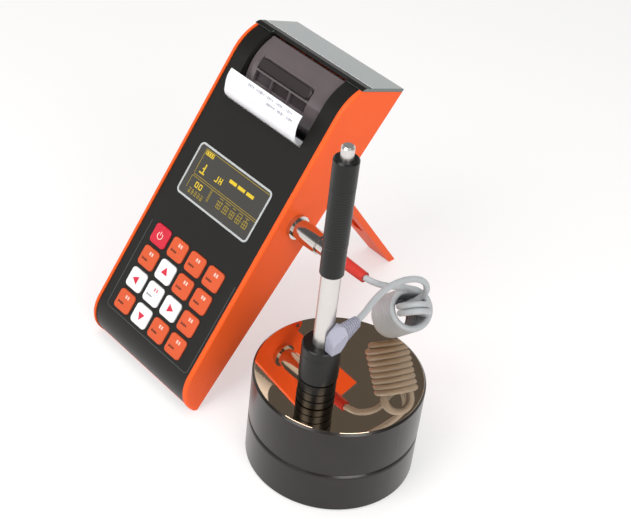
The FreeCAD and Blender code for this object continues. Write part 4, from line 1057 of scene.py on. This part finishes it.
@dataclass(frozen=True)
class ProbeFoot:
    """The turned foot of the probe: a satin housing over polished bands, each a profile round the axis.

    Radii and heights are in millimetres, the heights above the block.
    """

    block_top: float = 55.0
    segments: int = 96
    sharp_degrees: float = 20.0
    housing: tuple[Pair, ...] = (
        (9.0, 15.9), (9.7, 15.9), (10.0, 16.3), (10.0, 31.2), (9.9, 31.4), (9.9, 31.9), (10.0, 32.1),
        (10.0, 36.2), (9.4, 36.8), (4.95, 36.8), (4.95, 33.8), (9.0, 33.8))
    bands: tuple[Pair, ...] = (
        (4.95, 0.6), (6.0, 0.0), (8.7, 0.0), (9.3, 0.4), (9.75, 0.6), (9.75, 4.3), (9.2, 4.5), (9.2, 4.9),
        (9.6, 5.1), (9.6, 9.3), (9.2, 9.5), (9.2, 9.8), (9.6, 10.0), (9.6, 14.9), (9.0, 15.1), (8.9, 15.8),
        (4.95, 15.8))

    def build(self) -> None:
        """Turn the housing and the banded ring below it, in place of the plain ones."""
        start = np.array((*PROBE_AXIS, self.block_top)) * MM
        for name, profile, finish, node in (("turned_housing", self.housing, ANODISED, "coil_housing"),
                                            ("banded_foot", self.bands, POLISHED, "support_ring")):
            made = turned(name, np.array(profile) * MM, start, UP, self.segments, smooth=False)
            made.data.shade_smooth()
            made.data.set_sharp_from_angle(angle=math.radians(self.sharp_degrees))
            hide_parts(node)
            dress(made, finish)


@dataclass(frozen=True)
class Lamp:
    """A square area lamp: its place and aim and its side in metres, and its power in watts."""

    name: str
    place: Point
    watts: float
    size: float
    aim: Point = (-0.05, 0.0, 0.08)

    def build(self) -> None:
        """Hang the lamp, its back along the line from its aim to its place."""
        data = bpy.data.lights.new(self.name, "AREA")
        data.size = self.size
        data.energy = self.watts
        back = np.array(self.place) - np.array(self.aim)
        back /= np.linalg.norm(back)
        side = np.cross(UP, back)
        side /= np.linalg.norm(side)
        stand(in_scene(self.name, data), side, np.cross(back, side), back, self.place)


def stand(piece: Piece, side: Array, up: Array, back: Array, place: Point) -> None:
    """Turn and place a lamp or camera: the matrix's columns are its three axes and its place.

    Args:
        piece: The lamp or camera.
        side: Its own x axis.
        up: Its own y axis.
        back: Its own z axis, away from what it faces.
        place: Where it stands, in metres.
    """
    piece.matrix_world = Matrix([*np.column_stack([side, up, back, place]).tolist(), [0.0, 0.0, 0.0, 1.0]])


@dataclass(frozen=True)
class Studio:
    """The camera at the photograph's place, soft lamps, a pale floor and a white surround.

    The surround's strength in reflections rises from dim to 1 between two heights of the mirrored ray,
    and its strength as light is ambient. The floor's lift is the share of plain white that a camera or a
    mirror sees in it.
    """

    place: Point = (0.3600, -0.4037, 0.5434)
    azimuth: float = math.radians(43.79)
    pitch: float = math.radians(-37.68)
    roll: float = math.radians(7.04)
    focal_px: float = 1413.0
    width_px: float = 631.0
    sensor_mm: float = 36.0
    clip: Pair = (0.01, 50.0)
    ceiling: Pair = (-0.52, -0.14)
    ceiling_strength: float = 0.11
    ambient: float = 0.5
    floor_side: float = 4.0
    floor_colour: str = "#FFFDFC"
    floor_lift: float = 0.5
    lamps: tuple[Lamp, ...] = (
        Lamp("key_lamp", (-0.05, -0.78, 0.93), 6.0, 0.6), Lamp("side_lamp", (0.86, -0.27, 0.7), 5.4, 0.55),
        Lamp("top_lamp", (-0.15, -0.05, 1.15), 2.6, 0.45, (-0.08, 0.02, 0.08)))

    def camera(self) -> None:
        """Set the camera from the azimuth, pitch and roll: forward, right and up are its three axes."""
        across = np.array((math.cos(self.azimuth), math.sin(self.azimuth), 0.0))
        forward = np.array((-math.sin(self.azimuth) * math.cos(self.pitch),
                            math.cos(self.azimuth) * math.cos(self.pitch), math.sin(self.pitch)))
        above = np.cross(across, forward)
        right = math.cos(self.roll) * across + math.sin(self.roll) * above
        up = -math.sin(self.roll) * across + math.cos(self.roll) * above
        data = bpy.data.cameras.new("photo_camera")
        data.sensor_width = self.sensor_mm
        data.sensor_fit = "HORIZONTAL"
        data.lens = self.focal_px / self.width_px * self.sensor_mm
        data.clip_start, data.clip_end = self.clip
        made = in_scene("photo_camera", data)
        stand(made, right, up, -forward, self.place)
        bpy.context.scene.camera = made

    def surround(self) -> None:
        """A white world for the camera and near the horizon in reflections, darker high up like a ceiling."""
        world = bpy.data.worlds.new("white_surround")
        bpy.context.scene.world = world
        world.use_nodes = True
        tree = world.node_tree
        tree.nodes.clear()
        rays = add(tree, "LightPath").outputs
        way = add(tree, "NewGeometry").outputs["Incoming"]
        height = add(tree, "SeparateXYZ", {"Vector": way}).outputs["Z"]
        room = add(tree, "MapRange", {
            "Value": height, "From Min": self.ceiling[0], "From Max": self.ceiling[1],
            "To Min": self.ceiling_strength, "To Max": 1.0}, interpolation_type="SMOOTHSTEP")
        lit = add(tree, "MapRange", {"Value": self.seen(tree), "To Min": self.ambient, "To Max": 1.0})
        mirrored = add(tree, "Mix", {"Factor": rays["Is Glossy Ray"], "A": lit.outputs["Result"],
                                     "B": room.outputs["Result"]}, data_type="FLOAT")
        light = add(tree, "Background", {"Color": WHITE, "Strength": mirrored.outputs["Result"]})
        add(tree, "OutputWorld", {"Surface": light.outputs["Background"]})

    def seen(self, tree: Tree) -> Socket:
        """Where a camera, glossy or transmission ray looks: the greatest of the three tests.

        Returns:
            A socket that is one there, else zero.
        """
        rays = add(tree, "LightPath").outputs
        pair = add(tree, "Math", {0: rays["Is Camera Ray"], 1: rays["Is Glossy Ray"]}, operation="MAXIMUM")
        return add(tree, "Math", {0: pair.outputs["Value"], 1: rays["Is Transmission Ray"]},
                   operation="MAXIMUM").outputs["Value"]

    def floor(self) -> None:
        """A pale floor that keeps the object's shadow and is white elsewhere."""
        side = self.floor_side
        points = np.array([(-side, -side, 0.0), (side, -side, 0.0), (side, side, 0.0), (-side, side, 0.0)])
        made = mesh_object("floor", points, [[0, 1, 2, 3]], smooth=False)
        material, tree = fresh_material("pale matt paper floor")
        matt = add(tree, "BsdfDiffuse", {"Color": linear(self.floor_colour)})
        white = add(tree, "Emission", {"Color": WHITE, "Strength": 1.0})
        lift = add(tree, "Math", {0: self.seen(tree), 1: self.floor_lift}, operation="MULTIPLY")
        both = add(tree, "MixShader", {0: lift.outputs["Value"], 1: matt.outputs["BSDF"],
                                       2: white.outputs["Emission"]})
        add(tree, "OutputMaterial", {"Surface": both.outputs["Shader"]})
        made.data.materials.append(material)

    def build(self) -> None:
        """Put up the camera, the lamps, the surround and the floor."""
        self.camera()
        self.surround()
        self.floor()
        for lamp in self.lamps:
            lamp.build()
        bpy.context.scene.view_settings.view_transform = "Standard"


def main() -> None:
    """Load the frame, dress it and add the finer pieces."""
    logging.basicConfig(level=logging.INFO, format="%(message)s")
    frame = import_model()
    dress_nodes(frame)
    for part in (Studio(), PlugMoulding(), ProbeFoot(), ProbeCord(), Keypad(), Screen(), PrintedSlip(),
                 Trim(), GripRings()):
        part.build()
        LOG.info("finished %s", type(part).__name__)
    bpy.context.view_layer.update()


if __name__ == "__main__":
    main()
